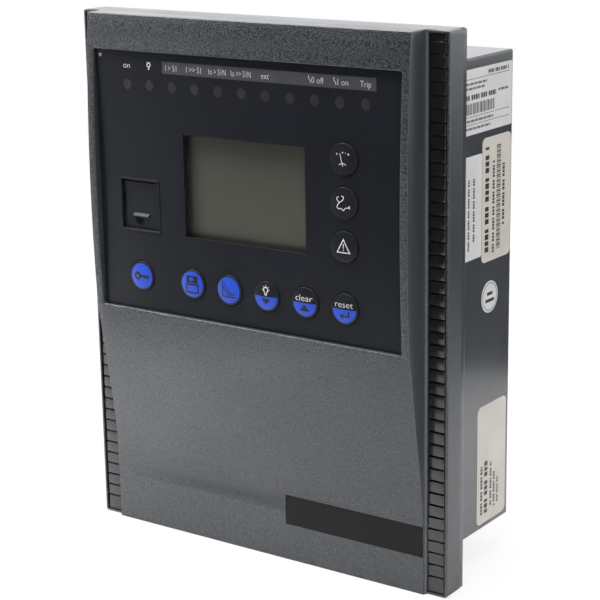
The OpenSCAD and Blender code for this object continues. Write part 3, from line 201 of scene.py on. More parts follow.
class Finish:
    """A procedural material that is put together from noise on Object coordinates."""

    def __init__(self, name, shade, roughness, metallic=0.0):
        self.material = bpy.data.materials.new(name)
        self.material.use_nodes = True
        self.tree = self.material.node_tree
        self.shader = self.tree.nodes["Principled BSDF"]
        self.place = self.node("ShaderNodeTexCoord").outputs["Object"]
        self.shade = shade
        self.roughness = roughness
        self.set("Base Color", (*shade, 1.0))
        self.set("Roughness", roughness)
        self.set("Metallic", metallic)

    def node(self, kind, inputs=None, **settings):
        return new_node(self.tree, kind, inputs or {}, **settings)

    def set(self, socket, value):
        self.shader.inputs[socket].default_value = value
        return self

    def feed(self, socket, output):
        """Links an output to a socket of the shader."""
        self.tree.links.new(output, self.shader.inputs[socket])
        return self

    def noise(self, scale, detail=2.0, stretch=None):
        """Noise of so many grains to the metre, drawn out along an axis where stretch says so."""
        place = self.place
        if stretch:
            mapping = self.node("ShaderNodeMapping", {"Scale": stretch, "Vector": place})
            place = mapping.outputs["Vector"]
        inputs = {"Scale": scale, "Detail": detail, "Vector": place}
        return self.node("ShaderNodeTexNoise", inputs).outputs["Fac"]

    def ramp(self, value, start, end, low, high):
        """Smooth change from low at a place to high at another."""
        if start > end:
            start, end, low, high = end, start, high, low
        step = self.node("ShaderNodeMapRange", {
            "Value": value, "From Min": start, "From Max": end, "To Min": low, "To Max": high,
        }, interpolation_type="SMOOTHSTEP")
        return step.outputs["Result"]

    def blend(self, value, low, high, span=NOISE_SPAN):
        """Moves the colour from one share of itself to another."""
        dark, light = ((*(min(1.0, s * part) for s in self.shade), 1.0) for part in (low, high))
        mix = self.node("ShaderNodeMix", {
            "Factor": self.ramp(value, *span, 0.0, 1.0), "A": dark, "B": light,
        }, data_type="RGBA", clamp_result=True)
        return self.feed("Base Color", mix.outputs["Result"])

    def mottled(self, scale, amount, detail=3.0, stretch=None):
        """Varies the colour by a share of itself."""
        return self.blend(self.noise(scale, detail, stretch), 1.0 - amount, 1.0 + amount)

    def worn(self, scale, amount, stretch=None):
        """Varies the roughness up and down by an amount."""
        noise = self.noise(scale, 3.0, stretch)
        low, high = self.roughness - amount, self.roughness + amount
        return self.feed("Roughness", self.ramp(noise, *NOISE_SPAN, low, high))

    def relief(self, height, depth, strength):
        """Raises a pattern to a real depth in metres."""
        bump = self.node("ShaderNodeBump", {"Height": height, "Distance": depth, "Strength": strength})
        return self.feed("Normal", bump.outputs["Normal"])

    def grained(self, scale, depth, strength=0.6, detail=2.0, stretch=None):
        """Raises an even grain."""
        return self.relief(self.noise(scale, detail, stretch), depth, strength)

    def axes(self, vector):
        """Parts of a vector along X, Y and Z."""
        return self.node("ShaderNodeSeparateXYZ", {"Vector": vector}).outputs

    def facing(self):
        """Direction in which a face looks, along each axis of the frame."""
        return self.axes(self.node("ShaderNodeNewGeometry").outputs["Normal"])

    def turned(self, socket, axis, start, end, low, high):
        """Changes a value with the direction in which a face looks."""
        return self.feed(socket, self.ramp(self.facing()[axis], start, end, low, high))

    def product(self, first, *others):
        """One value times others."""
        for other in others:
            both = self.node("ShaderNodeMath", {0: first, 1: other}, operation="MULTIPLY")
            first = both.outputs["Value"]
        return first

    def speckled(self, scale, amount, depth, crease, calm):
        """Coarse grain on the front faces, calmer below the crease, with smooth flanks."""
        ahead = self.facing()["Y"]
        upper = self.ramp(self.axes(self.place)["Z"], crease - 4 * MM, crease, calm, 1.0)
        grain = self.noise(scale, 3.0)
        front = self.ramp(ahead, *FLANK, 1.0, 0.08)
        faded = self.node("ShaderNodeMix", {
            "Factor": self.product(front, upper), "A": 0.5, "B": grain,
        }, data_type="FLOAT")
        self.blend(faded.outputs["Result"], 1.0 - amount, 1.0 + amount, (0.4, 0.6))
        return self.relief(grain, depth, self.ramp(ahead, *FLANK, 1.0, 0.06))


def moulding(name, shade, roughness=0.5, grain=1500, depth=0.00005, specular=0.4, wear=0.05):
    """Moulded plastic with a fine grain."""
    finish = Finish(name, shade, roughness).mottled(180, 0.06).worn(90, wear).grained(grain, depth)
    return finish.set("Specular IOR Level", specular).material


def sheet_metal(name, shade, roughness=0.32, stretch=(1, 1, 12)):
    """Rolled or plated metal with drawn-out scratches."""
    finish = Finish(name, shade, roughness, 1.0).mottled(300, 0.08, stretch=stretch)
    return finish.worn(500, 0.1, stretch).grained(900, 0.00002, 0.3, stretch=stretch).material


def print_ink(name, shade, roughness=0.45):
    """Screen-printed ink, a little uneven."""
    return Finish(name, shade, roughness).mottled(900, 0.05).worn(600, 0.06).material


def label_paper(name, shade):
    """Blank label with faint fibres and handling marks."""
    finish = Finish(name, shade, 0.5).mottled(70, 0.05, 5.0).worn(60, 0.1)
    return finish.grained(2500, 0.00001, 0.4).material


# Shade of each plain moulding, then its roughness, grain, depth, specular level and wear
MOULDED = {
    "plate_film": ((24, 24, 26), 0.391, 2400, 0.00001, 0.15, 0.012),
    "light_guide": ((228, 228, 224),),
    "board_laminate": ((30, 84, 46), 0.35, 500, 0.00003),
    "switch_plastic": ((36, 36, 37),),
    "lamp_resin": ((214, 214, 204), 0.25),
    "lens_smoke": ((52, 53, 57), 0.297, 2000, 0.00001, 0.4, 0.012),
    "port_plastic": ((29, 32, 36), 0.391, 2000, 0.00002, 0.22, 0.012),
    "chip_resin": ((27, 27, 28), 0.55),
    "cable_sheath": ((140, 142, 146), 0.5, 800),
    "relay_case": ((34, 66, 128), 0.3),
    "capacitor_sleeve": ((34, 42, 64), 0.3),
    "sensor_resin": ((38, 39, 42), 0.5),
    "header_plastic": ((46, 88, 56), 0.45),
    "plug_plastic": ((48, 49, 53), 0.42, 1600, 0.00004),
    "jack_plastic": ((206, 206, 200), 0.4),
}

# Shade of each metal, then its roughness and how its scratches are drawn out
ROLLED = {
    "tinned_steel": ((196, 196, 192),),
    "zinc_steel": ((190, 192, 196), 0.3, (6, 1, 6)),
    "core_steel": ((120, 114, 104), 0.5, (1, 14, 1)),
    "terminal_brass": ((196, 168, 106), 0.3, (6, 1, 6)),
    "spring_steel": ((172, 174, 180), 0.3, (14, 1, 1)),
}


def slot_finishes():
    """One finish for each material slot of the record."""
    tone = colours()
    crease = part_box("window_overlay")[0].z
    bezel = Finish("bezel_grain", tone.bezel, 0.38).worn(40, 0.03)
    bezel.speckled(1700, 1.0, 0.00034, crease, 0.3)
    bezel.turned("Specular IOR Level", "Y", *FLANK, 0.75, 1.0)
    grip = Finish("grip_gloss", tone.grip, 0.2).mottled(60, 0.1).worn(120, 0.05)
    grip.grained(700, 0.00001, 0.3).set("Specular IOR Level", 0.7)
    overlay = Finish("overlay_satin", tone.overlay, 0.297).mottled(40, 0.07).worn(25, 0.011)
    overlay.grained(2600, 0.000012, 0.4).set("Specular IOR Level", 0.2)
    window = Finish("display_clear", linear(60, 62, 58), 0.12).worn(30, 0.03)
    window.set("Alpha", 0.06).set("Specular IOR Level", 0.3)
    housing = Finish("housing_smooth", tone.housing, 0.172).mottled(90, 0.05).worn(30, 0.012)
    housing.grained(1800, 0.000006, 0.3).turned("Specular IOR Level", "Z", 0.6, 0.9, 0.9, 0.05)
    key = moulding("key_cap", linear(33, 35, 40), 0.328, 2200, 0.000015, 0.25, 0.012)
    finishes = {
        "bezel_plastic": bezel.material,
        "grip_plastic": grip.material,
        "overlay_film": overlay.material,
        "legend_card": moulding("legend_card", tone.legend, 0.484, 2000, 0.00001, wear=0.012),
        "key_plastic": key,
        "clear_window": window.material,
        "display_glass": display_finish(),
        "housing_plastic": housing.material,
    }
    for make, table in ((moulding, MOULDED), (sheet_metal, ROLLED)):
        for slot, (shade, *more) in table.items():
            finishes[slot] = make(slot, linear(*shade), *more)
    return finishes


def display_finish():
    """Resting display glass, a shade lighter towards its lower middle, with a painted shadow that
    darkens it along its frame.
    """
    low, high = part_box("display_panel")
    finish = Finish("display_rest", colours().display, 0.35).worn(20, 0.05)
    axes = finish.axes(finish.place)
    near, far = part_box("display_window")
    levels = [finish.ramp(axes["Z"], high.z, low.z, 0.72, 1.0)]
    # Painted shadow of the window's frame: the glass darkens towards its left, right and lower edges,
    # in from the lip that the film covers.
    painted_frame_shadow = (("X", near.x, 1, 0.25), ("X", far.x, -1, 0.7), ("Z", near.z, 1, 0.4))
    for axis, side, inward, dark in painted_frame_shadow:
        start = side + inward * DISPLAY_LIP
        levels.append(finish.ramp(axes[axis], start, start + inward * 4 * MM, dark, 1.0))
    finish.blend(finish.product(*levels), 0.25, 1.15, (0.1, 1.0))
    return finish.set("Specular IOR Level", 0.3).material


# Shapes


def add_piece(name, mesh, material, body, slot, smooth_angle=None):
    """Links a mesh that lies in the frame as a piece on a body."""
    piece = new_object(name, mesh)
    mesh.materials.clear()
    mesh.materials.append(material)
    if smooth_angle is not None:
        mesh.shade_smooth()
        mesh.set_sharp_from_angle(angle=math.radians(smooth_angle))
    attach(piece, body)
    return piece


class Flat:
    """Flat shapes in millimetres that become one thin print or label on a face."""

    def __init__(self):
        self.points = []
        self.faces = []

    def add(self, points, faces):
        start = len(self.points)
        self.points += [tuple(point[:2]) for point in points]
        self.faces += [tuple(start + index for index in face) for face in faces]
        return self

    def fill(self, outline, *holes):
        """Area inside an outline, without its holes."""
        loops = [list(outline)] + [list(hole) for hole in holes]
        flat = [point for loop in loops for point in loop]
        triangles = tessellate_polygon([[Vector((x, y, 0)) for x, y in loop] for loop in loops])
        return self.add(flat, [t for t in triangles if abs(area(flat, t)) > 1e-9])

    def disc(self, x, y, radius, steps=20):
        return self.fill(arc(x, y, radius, 0, 360, steps)[:-1])

    def ring(self, x, y, radius, width, steps=28):
        outer = arc(x, y, radius + width / 2, 0, 360, steps)[:-1]
        inner = arc(x, y, radius - width / 2, 0, 360, steps)[:-1]
        count = len(outer)
        faces = [(i, (i + 1) % count, count + (i + 1) % count, count + i) for i in range(count)]
        return self.add(outer + inner, faces)

    def bar(self, x, y, width, height, radius=0.0):
        return self.fill(rounded(x, y, width, height, radius))

    def stroke(self, line, width, closed=False):
        """Line of even width with mitred bends."""
        points = [Vector(point) for point in line]
        count = len(points)
        left, right = [], []
        for i, point in enumerate(points):
            before = points[i - 1] if i or closed else None
            after = points[(i + 1) % count] if i < count - 1 or closed else None
            into = (point - before).normalized() if before else (after - point).normalized()
            out = (after - point).normalized() if after else into
            normal = Vector((-into.y - out.y, into.x + out.x)).normalized()
            reach = width / 2 / max(0.35, normal.dot(Vector((-into.y, into.x))))
            left.append(point + normal * reach)
            right.append(point - normal * reach)
        last = count if closed else count - 1
        faces = [(i, count + i, count + (i + 1) % count, (i + 1) % count) for i in range(last)]
        return self.add(left + right, faces)

    def words(self, text, x, y, height, width=None, align="CENTER"):
        """Plain lettering with capitals of a height, on a base line at y."""
        curve = bpy.data.curves.new("words", "FONT")
        curve.body = text
        curve.size = height / 0.7
        curve.align_x = align
        curve.offset = -0.012 * curve.size
        curve.resolution_u = 3
        holder = new_object("words", curve)
        bpy.context.view_layer.update()
        mesh = holder.evaluated_get(bpy.context.evaluated_depsgraph_get()).to_mesh()
        points = [vertex.co.xy for vertex in mesh.vertices]
        faces = [tuple(face.vertices) for face in mesh.polygons]
        span = max(point.x for point in points) - min(point.x for point in points)
        narrow = width / span if width else 1.0
        self.add([(x + point.x * narrow, y + point.y) for point in points], faces)
        bpy.data.objects.remove(holder)
        bpy.data.curves.remove(curve)
        return self

    def mesh(self, name, place, thickness, longest=None):
        """Closed thin mesh: place turns a flat point and a height above the face into the frame."""
        shape = bmesh.new()
        corners = [shape.verts.new((x, y, 0)) for x, y in self.points]
        for face in self.faces:
            try:
                shape.faces.new([corners[index] for index in face])
            except ValueError:
                continue
        bmesh.ops.remove_doubles(shape, verts=shape.verts, dist=1e-4)
        for face in shape.faces:
            face.normal_update()
            if face.normal.z < 0:
                face.normal_flip()
        for _ in range(4):
            long_edges = [e for e in shape.edges if longest and e.calc_length() > longest]
            if not long_edges:
                break
            bmesh.ops.triangulate(shape, faces=shape.faces[:])
            long_edges = [e for e in shape.edges if e.calc_length() > longest]
            bmesh.ops.subdivide_edges(shape, edges=long_edges, cuts=1, use_grid_fill=True)
        raised = bmesh.ops.extrude_face_region(shape, geom=shape.faces[:], use_keep_orig=True)
        top = {item for item in raised["geom"] if isinstance(item, bmesh.types.BMVert)}
        for vert in shape.verts:
            vert.co = place(vert.co.x, vert.co.y, thickness / MM if vert in top else 0.0)
        bmesh.ops.recalc_face_normals(shape, faces=shape.faces[:])
        return new_mesh(name, shape)


def area(points, face):
    a, b, c = (points[index] for index in face[:3])
    return ((b[0] - a[0]) * (c[1] - a[1]) - (c[0] - a[0]) * (b[1] - a[1])) / 2


def arc(x, y, radius, start, end, steps=12):
    """Points along an arc in degrees, both ends included."""
    turns = [math.radians(start + (end - start) * i / steps) for i in range(steps + 1)]
    return [(x + radius * math.cos(turn), y + radius * math.sin(turn)) for turn in turns]


def rounded(x, y, width, height, radius):
    """Outline of a rectangle with round corners."""
    if not radius:
        return [(x - width / 2, y - height / 2), (x + width / 2, y - height / 2),
                (x + width / 2, y + height / 2), (x - width / 2, y + height / 2)]
    across, up = width / 2 - radius, height / 2 - radius
    corners = ((across, up, 0), (-across, up, 90), (-across, -up, 180), (across, -up, 270))
    return [
        point for dx, dy, turn in corners for point in arc(x + dx, y + dy, radius, turn, turn + 90, 5)
    ]


def on_front(x, depth, z):
    """Place on a face that looks to the front, from a middle in metres."""
    return lambda u, v, lift: Vector((x + u * MM, depth - lift * MM, z + v * MM))


def on_right(x, y, z):
    """Place on a face that looks to the right."""
    return lambda u, v, lift: Vector((x + lift * MM, y + u * MM, z + v * MM))


def on_rear(x, y, z):
    """Place on a face that looks to the rear."""
    return lambda u, v, lift: Vector((x - u * MM, y + lift * MM, z + v * MM))


def on_key(node):
    """Place on the crowned face of a key."""
    centre, crown = middle(node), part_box(node)[0].y
    clear = 0.004

    def place(u, v, lift):
        drop = KEY_FALL * (u * u + v * v) / KEY_FACE_R ** 2
        return Vector((centre.x + u * MM, crown + (drop - clear - lift) * MM, centre.z + v * MM))

    return place


def softened(node, groups):
    """Merged copy of a CAD node with rounded edges: a test of an edge and a radius for each group."""
    shape = bmesh.new()
    shape.from_mesh(NODES[node].data)
    bmesh.ops.remove_doubles(shape, verts=shape.verts, dist=2e-6)
    bmesh.ops.dissolve_limit(
        shape, angle_limit=math.radians(0.2), use_dissolve_boundaries=False,
        verts=shape.verts, edges=shape.edges, delimit={"NORMAL"},
    )
    bmesh.ops.dissolve_degenerate(shape, dist=1e-6, edges=shape.edges)
    for chosen, radius in groups:
        edges = [
            edge for edge in shape.edges
            if len(edge.link_faces) == 2
            and edge.calc_face_angle(0) > math.radians(30) and chosen(edge)
        ]
        bmesh.ops.bevel(
            shape, geom=edges, offset=radius, offset_type="OFFSET", segments=3, profile=0.5,
            affect="EDGES", clamp_overlap=False,
        )
    return new_mesh(node + "_soft", shape)


# Pieces


class RelayStep(bpy.types.Operator):
    """A step that makes a group of pieces."""

    bl_options = {"REGISTER", "UNDO"}

    def execute(self, context):
        self.make()
        return {"FINISHED"}


class RELAY_OT_finishes(RelayStep):
    """Gives every CAD node its finish"""

    bl_idname = "relay.finishes"
    bl_label = "Finishes"

    def make(self):
        finishes = slot_finishes()
        for name, node in NODES.items():
            node.data.materials.clear()
            node.data.materials.append(finishes[SLOT_OF[name]])
        tone = colours()
        print_ink("ink_white", tone.ink)
        print_ink("ink_black", tone.dark)
        print_ink("ink_blue", tone.blue, 0.38)
        print_ink("ink_line", tone.mark)
        label_paper("label_white", tone.paper)
        label_paper("label_buff", tone.buff)
        sheet_metal("contact_gilt", linear(214, 184, 110), 0.25)


def finish(name):
    return bpy.data.materials[name]


def add_print(name, flat, place, ink, slot, thickness=None):
    """Thin print or label on the housing."""
    mesh = flat.mesh(name, place, thickness or sizes().print_lift)
    return add_piece(name, mesh, finish(ink), HOUSING, slot)


class RELAY_OT_mouldings(RelayStep):
    """Rounds the visible edges of the front moulding, the port's frame and the grip strips"""

    bl_idname = "relay.mouldings"
    bl_label = "Mouldings"

    def make(self):
        self.bezel()
        self.front("port_frame", "port_housing", sizes().port_r)
        for side in ("left", "right"):
            self.front(side + "_ribbed_strip", side + "_grip_strip", sizes().rib_r)

    def bezel(self):
        low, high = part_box("window_overlay")
        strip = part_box("right_grip_strip")[0]
        side, seat = strip.x - CHANNEL_GAP, strip.y
        room = 0.4 * MM

        def at_panel_side(edge):
            ends = [vert.co for vert in edge.verts]
            return all(abs(abs(end.x) - side) < room and end.y < seat - room for end in ends)

        def at_recess(edge):
            ends = [vert.co for vert in edge.verts]
            front = all(end.y < low.y - 0.5 * MM for end in ends)
            across = all(low.x - room < end.x < high.x + room for end in ends)
            return front and across and all(low.z - room < end.z < high.z + room for end in ends)

        groups = [(at_panel_side, sizes().edge_r), (at_recess, sizes().recess_r)]
        self.stand_in("bezel_moulding", "front_bezel", groups)

    def front(self, name, node, radius):
        """Stand-in that is rounded along the edges of its front."""
        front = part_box(node)[0].y

        def at_front(edge):
            return all(vert.co.y < front + 0.05 * MM for vert in edge.verts)

        self.stand_in(name, node, [(at_front, radius)])

    def stand_in(self, name, node, groups):
        """Rounded copy that is shown instead of a CAD node."""
        mesh, material = softened(node, groups), NODES[node].data.materials[0]
        piece = add_piece(name, mesh, material, HOUSING, SLOT_OF[node], SOFT_ANGLE)
        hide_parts(node)


KEY_BODIES = (
    "key_access", "key_settings", "key_curve", "key_down", "key_up", "key_enter",
    "key_meter", "key_diagnosis", "key_alarm",
)


class RELAY_OT_key_prints(RelayStep):
    """Prints the blue discs and the signs on the keys"""

    bl_idname = "relay.key_prints"
    bl_label = "Key prints"

    def make(self):
        for key in KEY_BODIES:
            prints = getattr(self, key)()
            for ink, flat in prints.items():
                above = 1.0 if ink == "ink_blue" else 1.6
                mesh = flat.mesh(key + "_" + ink, on_key(key), sizes().print_lift * above, 0.9)
                add_piece(key + "_" + ink, mesh, finish(ink), key, "key_plastic", 30)

    def disc(self, half=False):
        """Whole disc, or the half below the middle."""
        radius = sizes().disc_r / MM
        if half:
            return Flat().fill(arc(0, 0, radius, 180, 360, 28))
        return Flat().disc(0, 0, radius, 48)

    def key_access(self):
        sign = Flat().ring(-2.0, 0, 1.25, 1.1)
        sign.fill([(-0.7, 0.52), (3.7, 0.52), (3.95, 0), (3.7, -0.5), (3.4, -0.5), (3.2, -1.1),
                   (2.7, -1.1), (2.5, -0.5), (2.1, -0.5), (1.9, -1.0), (1.4, -1.0), (1.2, -0.5),
                   (-0.7, -0.5)])
        return {"ink_blue": self.disc(), "ink_black": sign}

    def key_settings(self):
        sign = Flat().fill(rounded(0, 2.05, 5.6, 2.9, 0), rounded(-0.3, 2.05, 2.0, 1.5, 0))
        sign.stroke(rounded(0, -1.75, 6.0, 3.4, 0.0), 0.66, True)
        return {"ink_blue": self.disc(), "ink_black": sign}

    def key_curve(self):
        sign = Flat().stroke([(-3.0, 3.5), (-3.0, -2.7), (3.6, -2.7)], 0.6)
        upper = [(-1.9 + 0.42 * i, 4.6 * math.exp(-0.33 * i) - 1.6) for i in range(13)]
        lower = [(-2.5 + 0.36 * i, 3.4 * math.exp(-0.42 * i) - 2.0) for i in range(12)]
        sign.stroke(upper, 0.5).stroke(lower, 0.4)
        return {"ink_blue": self.disc(), "ink_black": sign}

    def key_down(self):
        sign = Flat().fill([(-2.1, -0.9), (0, -3.3), (2.1, -0.9)])
        lamp = Flat().stroke(arc(0, 2.75, 1.05, -60, 240, 18), 0.46)
        lamp.stroke([(-0.5, 1.75), (-0.4, 1.0)], 0.38).stroke([(0.5, 1.75), (0.4, 1.0)], 0.38)
        lamp.bar(0, 0.72, 1.0, 0.42)
        inner, outer = (arc(0, 2.75, radius, 0, 180, 4) for radius in (1.5, 1.85))
        for ray in zip(inner, outer):
            lamp.stroke(ray, 0.3)
        return {"ink_blue": self.disc(half=True), "ink_black": sign, "ink_white": lamp}

    def key_up(self):
        sign = Flat().fill([(2.4, -3.3), (0, -0.7), (-2.4, -3.3)])
        word = Flat().words("clear", -0.3, 0.75, sizes().word_h / MM, 8.0)
        return {"ink_blue": self.disc(half=True), "ink_black": sign, "ink_white": word}

    def key_enter(self):
        sign = Flat().stroke([(2.0, -0.6), (2.0, -2.7), (-0.5, -2.7)], 0.6)
        sign.fill([(-2.2, -2.7), (-0.45, -3.85), (-0.45, -1.55)])
        word = Flat().words("reset", -0.2, 0.75, sizes().word_h / MM, 8.2)
        return {"ink_blue": self.disc(half=True), "ink_black": sign, "ink_white": word}

    def key_meter(self):
        sign = Flat().stroke([(-1.2, 2.2), (-0.3, -1.4)], 0.32)
        sign.stroke([(-1.7, -2.2), (-0.9, -1.75), (-0.1, -1.5), (0.7, -1.7), (1.5, -2.1)], 0.32)
        sign.stroke([(-0.1, -1.5), (-0.05, -2.7)], 0.32)
        for x, y, radius in ((-2.6, 1.9, 0.34), (0.0, 2.6, 0.34), (1.3, 2.5, 0.18), (2.6, 2.1, 0.36)):
            sign.disc(x, y, radius, 10)
        return {"ink_white": sign}

    def key_diagnosis(self):
        sign = Flat().stroke([(-2.0, 2.5), (-2.7, 2.1), (-2.85, 1.5), (-2.5, 0.9), (-1.5, 0.3)], 0.34)
        sign.stroke([(-0.8, 2.8), (0.0, 2.7), (0.3, 2.2), (-0.1, 1.3), (-1.5, 0.3)], 0.34)
        sign.stroke([(-1.5, 0.3), (-2.3, -0.5), (-2.75, -1.3), (-2.6, -1.9), (-2.0, -2.2), (-0.9, -2.0),
                     (0.2, -2.7), (1.0, -1.75), (2.8, -1.35)], 0.34)
        sign.stroke([(2.8, -0.75), (2.8, -1.95)], 0.5)
        return {"ink_white": sign}

    def key_alarm(self):
        sign = Flat().stroke([(0, 2.9), (-2.85, -2.2), (2.85, -2.2)], 0.42, True)
        sign.fill([(-0.26, 1.2), (-0.14, -0.6), (0.14, -0.6), (0.26, 1.2)]).disc(0, -1.2, 0.25, 12)
        return {"ink_white": sign}


class RELAY_OT_legends(RelayStep):
    """Prints the lamp legends on the strip and the window"""

    bl_idname = "relay.legends"
    bl_label = "Legends"

    def make(self):
        low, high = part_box("indicator_lenses")
        first, last = low.x + LENS_R, high.x - LENS_R
        pitch = (last - first) / 10 / MM
        height = sizes().legend_h / MM
        base = -height / 2
        centre_z = middle("legend_strip").z
        card = Flat()
        for step, text, width in (
            (2, "I > 51", 5.6), (3, "I >> 51", 7.3), (4, "Io > 51N", 8.4), (5, "Io >> 51N", 9.5),
            (6, "ext", 3.6), (10, "Trip", 4.8),
        ):
            card.words(text, step * pitch, base, height, width)
        for step, text, width in ((8, "0 off", 5.6), (9, "I on", 4.8)):
            x = step * pitch
            card.words(text, x + 1.4, base, height, width)
            card.stroke([(x - 2.6, 1.2), (x - 2.6, 0.5), (x - 1.7, -0.5), (x - 1.7, -1.2)], 0.26)
            card.disc(x - 2.6, 1.3, 0.28, 10)
        place = on_front(first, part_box("legend_strip")[0].y, centre_z)
        add_print("lamp_legends", card, place, "ink_white", "legend_card")
        window = Flat().words("on", 0, base, height, 3.5)
        window.ring(pitch, 0.6, 0.8, 0.5, 16).stroke([(pitch, -0.1), (pitch, -1.4)], 0.62)
        window.stroke([(pitch - 0.6, 1.3), (pitch - 0.6, 1.8)], 0.36)
        window.stroke([(pitch + 0.6, 1.3), (pitch + 0.6, 1.8)], 0.36)
        window.ring(-13.9, 3.4, 0.55, 0.26, 20)
        place = on_front(first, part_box("window_overlay")[0].y, centre_z)
        add_print("window_legends", window, place, "ink_white", "overlay_film")


# Length of each block and of the gap after it, as shares of the row's height
BLOCKS = {
    "words": (
        (0.7, 0.22), (0.6, 0.22), (0.75, 0.22), (0.5, 0.7), (0.7, 0.22), (0.65, 0.22), (0.6, 0.75),
    ),
    "bars": ((0.08, 0.12), (0.18, 0.08), (0.07, 0.16), (0.13, 0.1), (0.2, 0.12)),
    "rule": ((1000, 1),),
}


class RELAY_OT_side_labels(RelayStep):
    """Sticks the blank labels on the housing's right wall"""

    bl_idname = "relay.side_labels"
    bl_label = "Side labels"

    def make(self):
        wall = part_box("rear_housing")[1].x - WALL_INSET
        self.label("label_upper", wall, (28.5, 80.4), (41, 25.2), 0.8, "label_white", False, (
            ("words", 10.4, 1.4, 22, 38), ("rule", 8.8, 0.2, 2, 39), ("words", 7.0, 0.9, 3, 21),
            ("words", 5.2, 0.9, 3, 19), ("words", 1.8, 1.9, 3, 28), ("words", 2.4, 0.9, 30, 38),
            ("bars", -2.6, 4.2, 3, 27), ("rule", -5.6, 0.2, 2, 39), ("words", -7.2, 0.9, 3, 26),
            ("rule", -8.6, 0.2, 2, 39), ("words", -10.2, 0.9, 3, 24),
        ))
        self.label("label_long", wall, (37.5, 40.1), (23, 49.8), 2.5, "label_buff", True, (
            ("words", -7.6, 2.9, 4, 46), ("words", -2.4, 1.5, 3, 40), ("bars", 1.6, 3.2, 4, 46),
            ("words", 5.6, 1.7, 13, 38),
        ))
        self.label("label_narrow", wall, (18.9, 39.0), (13.6, 41), 0.8, "label_white", True, (
            ("words", -3.4, 1.2, 4, 32), ("words", 0.6, 1.3, 7, 32),
        ))
        self.label("label_low", wall, (36.1, -69.7), (23.5, 50.6), 2.5, "label_buff", True, (
            ("words", -8.2, 1.6, 4, 25), ("words", -4.6, 2.6, 4, 27), ("words", -0.6, 1.4, 6, 25),
            ("words", 2.2, 1.4, 5, 21), ("words", 5.0, 1.2, 6, 17),
        ))
        self.sticker(wall, (33.0, 0.5), 6.5)

    def label(self, name, wall, centre, size, radius, paper, upright, rows):
        """Sheet with rows of plain blocks: kind, place across, height, start and end of each row."""
        sheet = Flat().fill(rounded(0, 0, size[0], size[1], radius))
        marks = Flat()
        run = size[1] if upright else size[0]
        for row, (kind, across, height, start, end) in enumerate(rows):
            at, last, turn = start - run / 2, end - run / 2, row
            blocks = BLOCKS[kind]
            while at < last - 0.1:
                reach, gap = (height * part for part in blocks[turn % len(blocks)])
                reach = min(reach, last - at)
                along = at + reach / 2
                if upright:
                    marks.bar(across, along, height, reach)
                else:
                    marks.bar(along, across, reach, height)
                at += reach + gap
                turn += 1
        self.stick(name, sheet, paper, name + "_lines", marks, wall, centre)

    def sticker(self, wall, centre, radius):
        sheet = Flat().disc(0, 0, radius, 48)
        ring = Flat().ring(0, 0, radius - 0.9, 0.3, 48).bar(0, 1.3, 4.4, 1.3).bar(0, -1.5, 7, 1.3)
        self.stick("label_round", sheet, "label_white", "label_round_line", ring, wall, centre)

    def stick(self, name, sheet, paper, lines, marks, wall, centre):
        """Paper on the wall, with its lines on top."""
        y, z = (part * MM for part in centre)
        thickness = sizes().label_t
        add_print(name, sheet, on_right(wall, y, z), paper, "housing_plastic", thickness)
        add_print(lines, marks, on_right(wall + thickness, y, z), "ink_line", "housing_plastic")


class RELAY_OT_terminal_marks(RelayStep):
    """Prints the terminal numbers and the earth sign on the rear"""

    bl_idname = "relay.terminal_marks"
    bl_label = "Terminal marks"

    def make(self):
        height, gap = sizes().number_h / MM, 2.2 * MM
        for letter in "ab":
            plug = "terminal_plug_" + letter
            centre, end = middle(plug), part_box(plug)[1]
            screws = self.numbers(POLES, POLE_PITCH, height / 2, height)
            place = on_rear(end.x + gap, REAR_WALL, centre.z)
            add_print("numbers_" + letter, screws, place, "ink_white", "housing_plastic")
            title = Flat().words(letter.upper(), 0, 0, 3.6)
            place = on_rear(centre.x, REAR_WALL, end.z + gap)
            add_print("terminal_letter_" + letter, title, place, "ink_white", "housing_plastic")
        near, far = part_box("current_connector")
        lugs = self.numbers(BAYS, BAY_PITCH, height, height * 1.6)
        place = on_rear(near.x + 9 * MM, far.y, middle("current_connector").z)
        add_print("numbers_current", lugs, place, "ink_white", "plug_plastic")
        self.earth()

    def numbers(self, count, pitch, drop, height):
        """Column of numbers that rise downwards."""
        column = Flat()
        for row in range(count):
            column.words(str(count - row), 0, (row - (count - 1) / 2) * pitch - drop, height)
        return column

    def earth(self):
        screw = middle("earth_screw")
        sign = Flat().bar(0, 1.1, 0.45, 2.2)
        for row, width in enumerate((4.2, 2.8, 1.4)):
            sign.bar(0, -row * 0.95, width, 0.45)
        place = on_rear(screw.x, REAR_WALL, screw.z + 10 * MM)
        add_print("earth_sign", sign, place, "ink_white", "housing_plastic")


def row_tree(name, make_item):
    """Geometry Nodes tree that repeats an item along a line, with count, step and sizes as inputs."""
    tree = bpy.data.node_groups.new(name, "GeometryNodeTree")
    face = tree.interface
    face.new_socket("Geometry", in_out="INPUT", socket_type="NodeSocketGeometry")
    for title, kind in (
        ("Count", "Int"), ("Start", "Vector"), ("Step", "Vector"),
        ("Size", "Float"), ("Reach", "Float"), ("Finish", "Material"),
    ):
        face.new_socket(title, in_out="INPUT", socket_type="NodeSocket" + kind)
    face.new_socket("Geometry", in_out="OUTPUT", socket_type="NodeSocketGeometry")
    given = tree.nodes.new("NodeGroupInput").outputs
    line = new_node(tree, "GeometryNodeMeshLine", {
        "Count": given["Count"], "Start Location": given["Start"], "Offset": given["Step"],
    })
    spread = new_node(tree, "GeometryNodeInstanceOnPoints", {
        "Points": line.outputs["Mesh"], "Instance": make_item(tree, given),
    })
    solid = new_node(tree, "GeometryNodeRealizeInstances", {"Geometry": spread.outputs["Instances"]})
    paint = new_node(tree, "GeometryNodeSetMaterial", {
        "Geometry": solid.outputs["Geometry"], "Material": given["Finish"],
    })
    new_node(tree, "NodeGroupOutput", {"Geometry": paint.outputs["Geometry"]})
    return tree


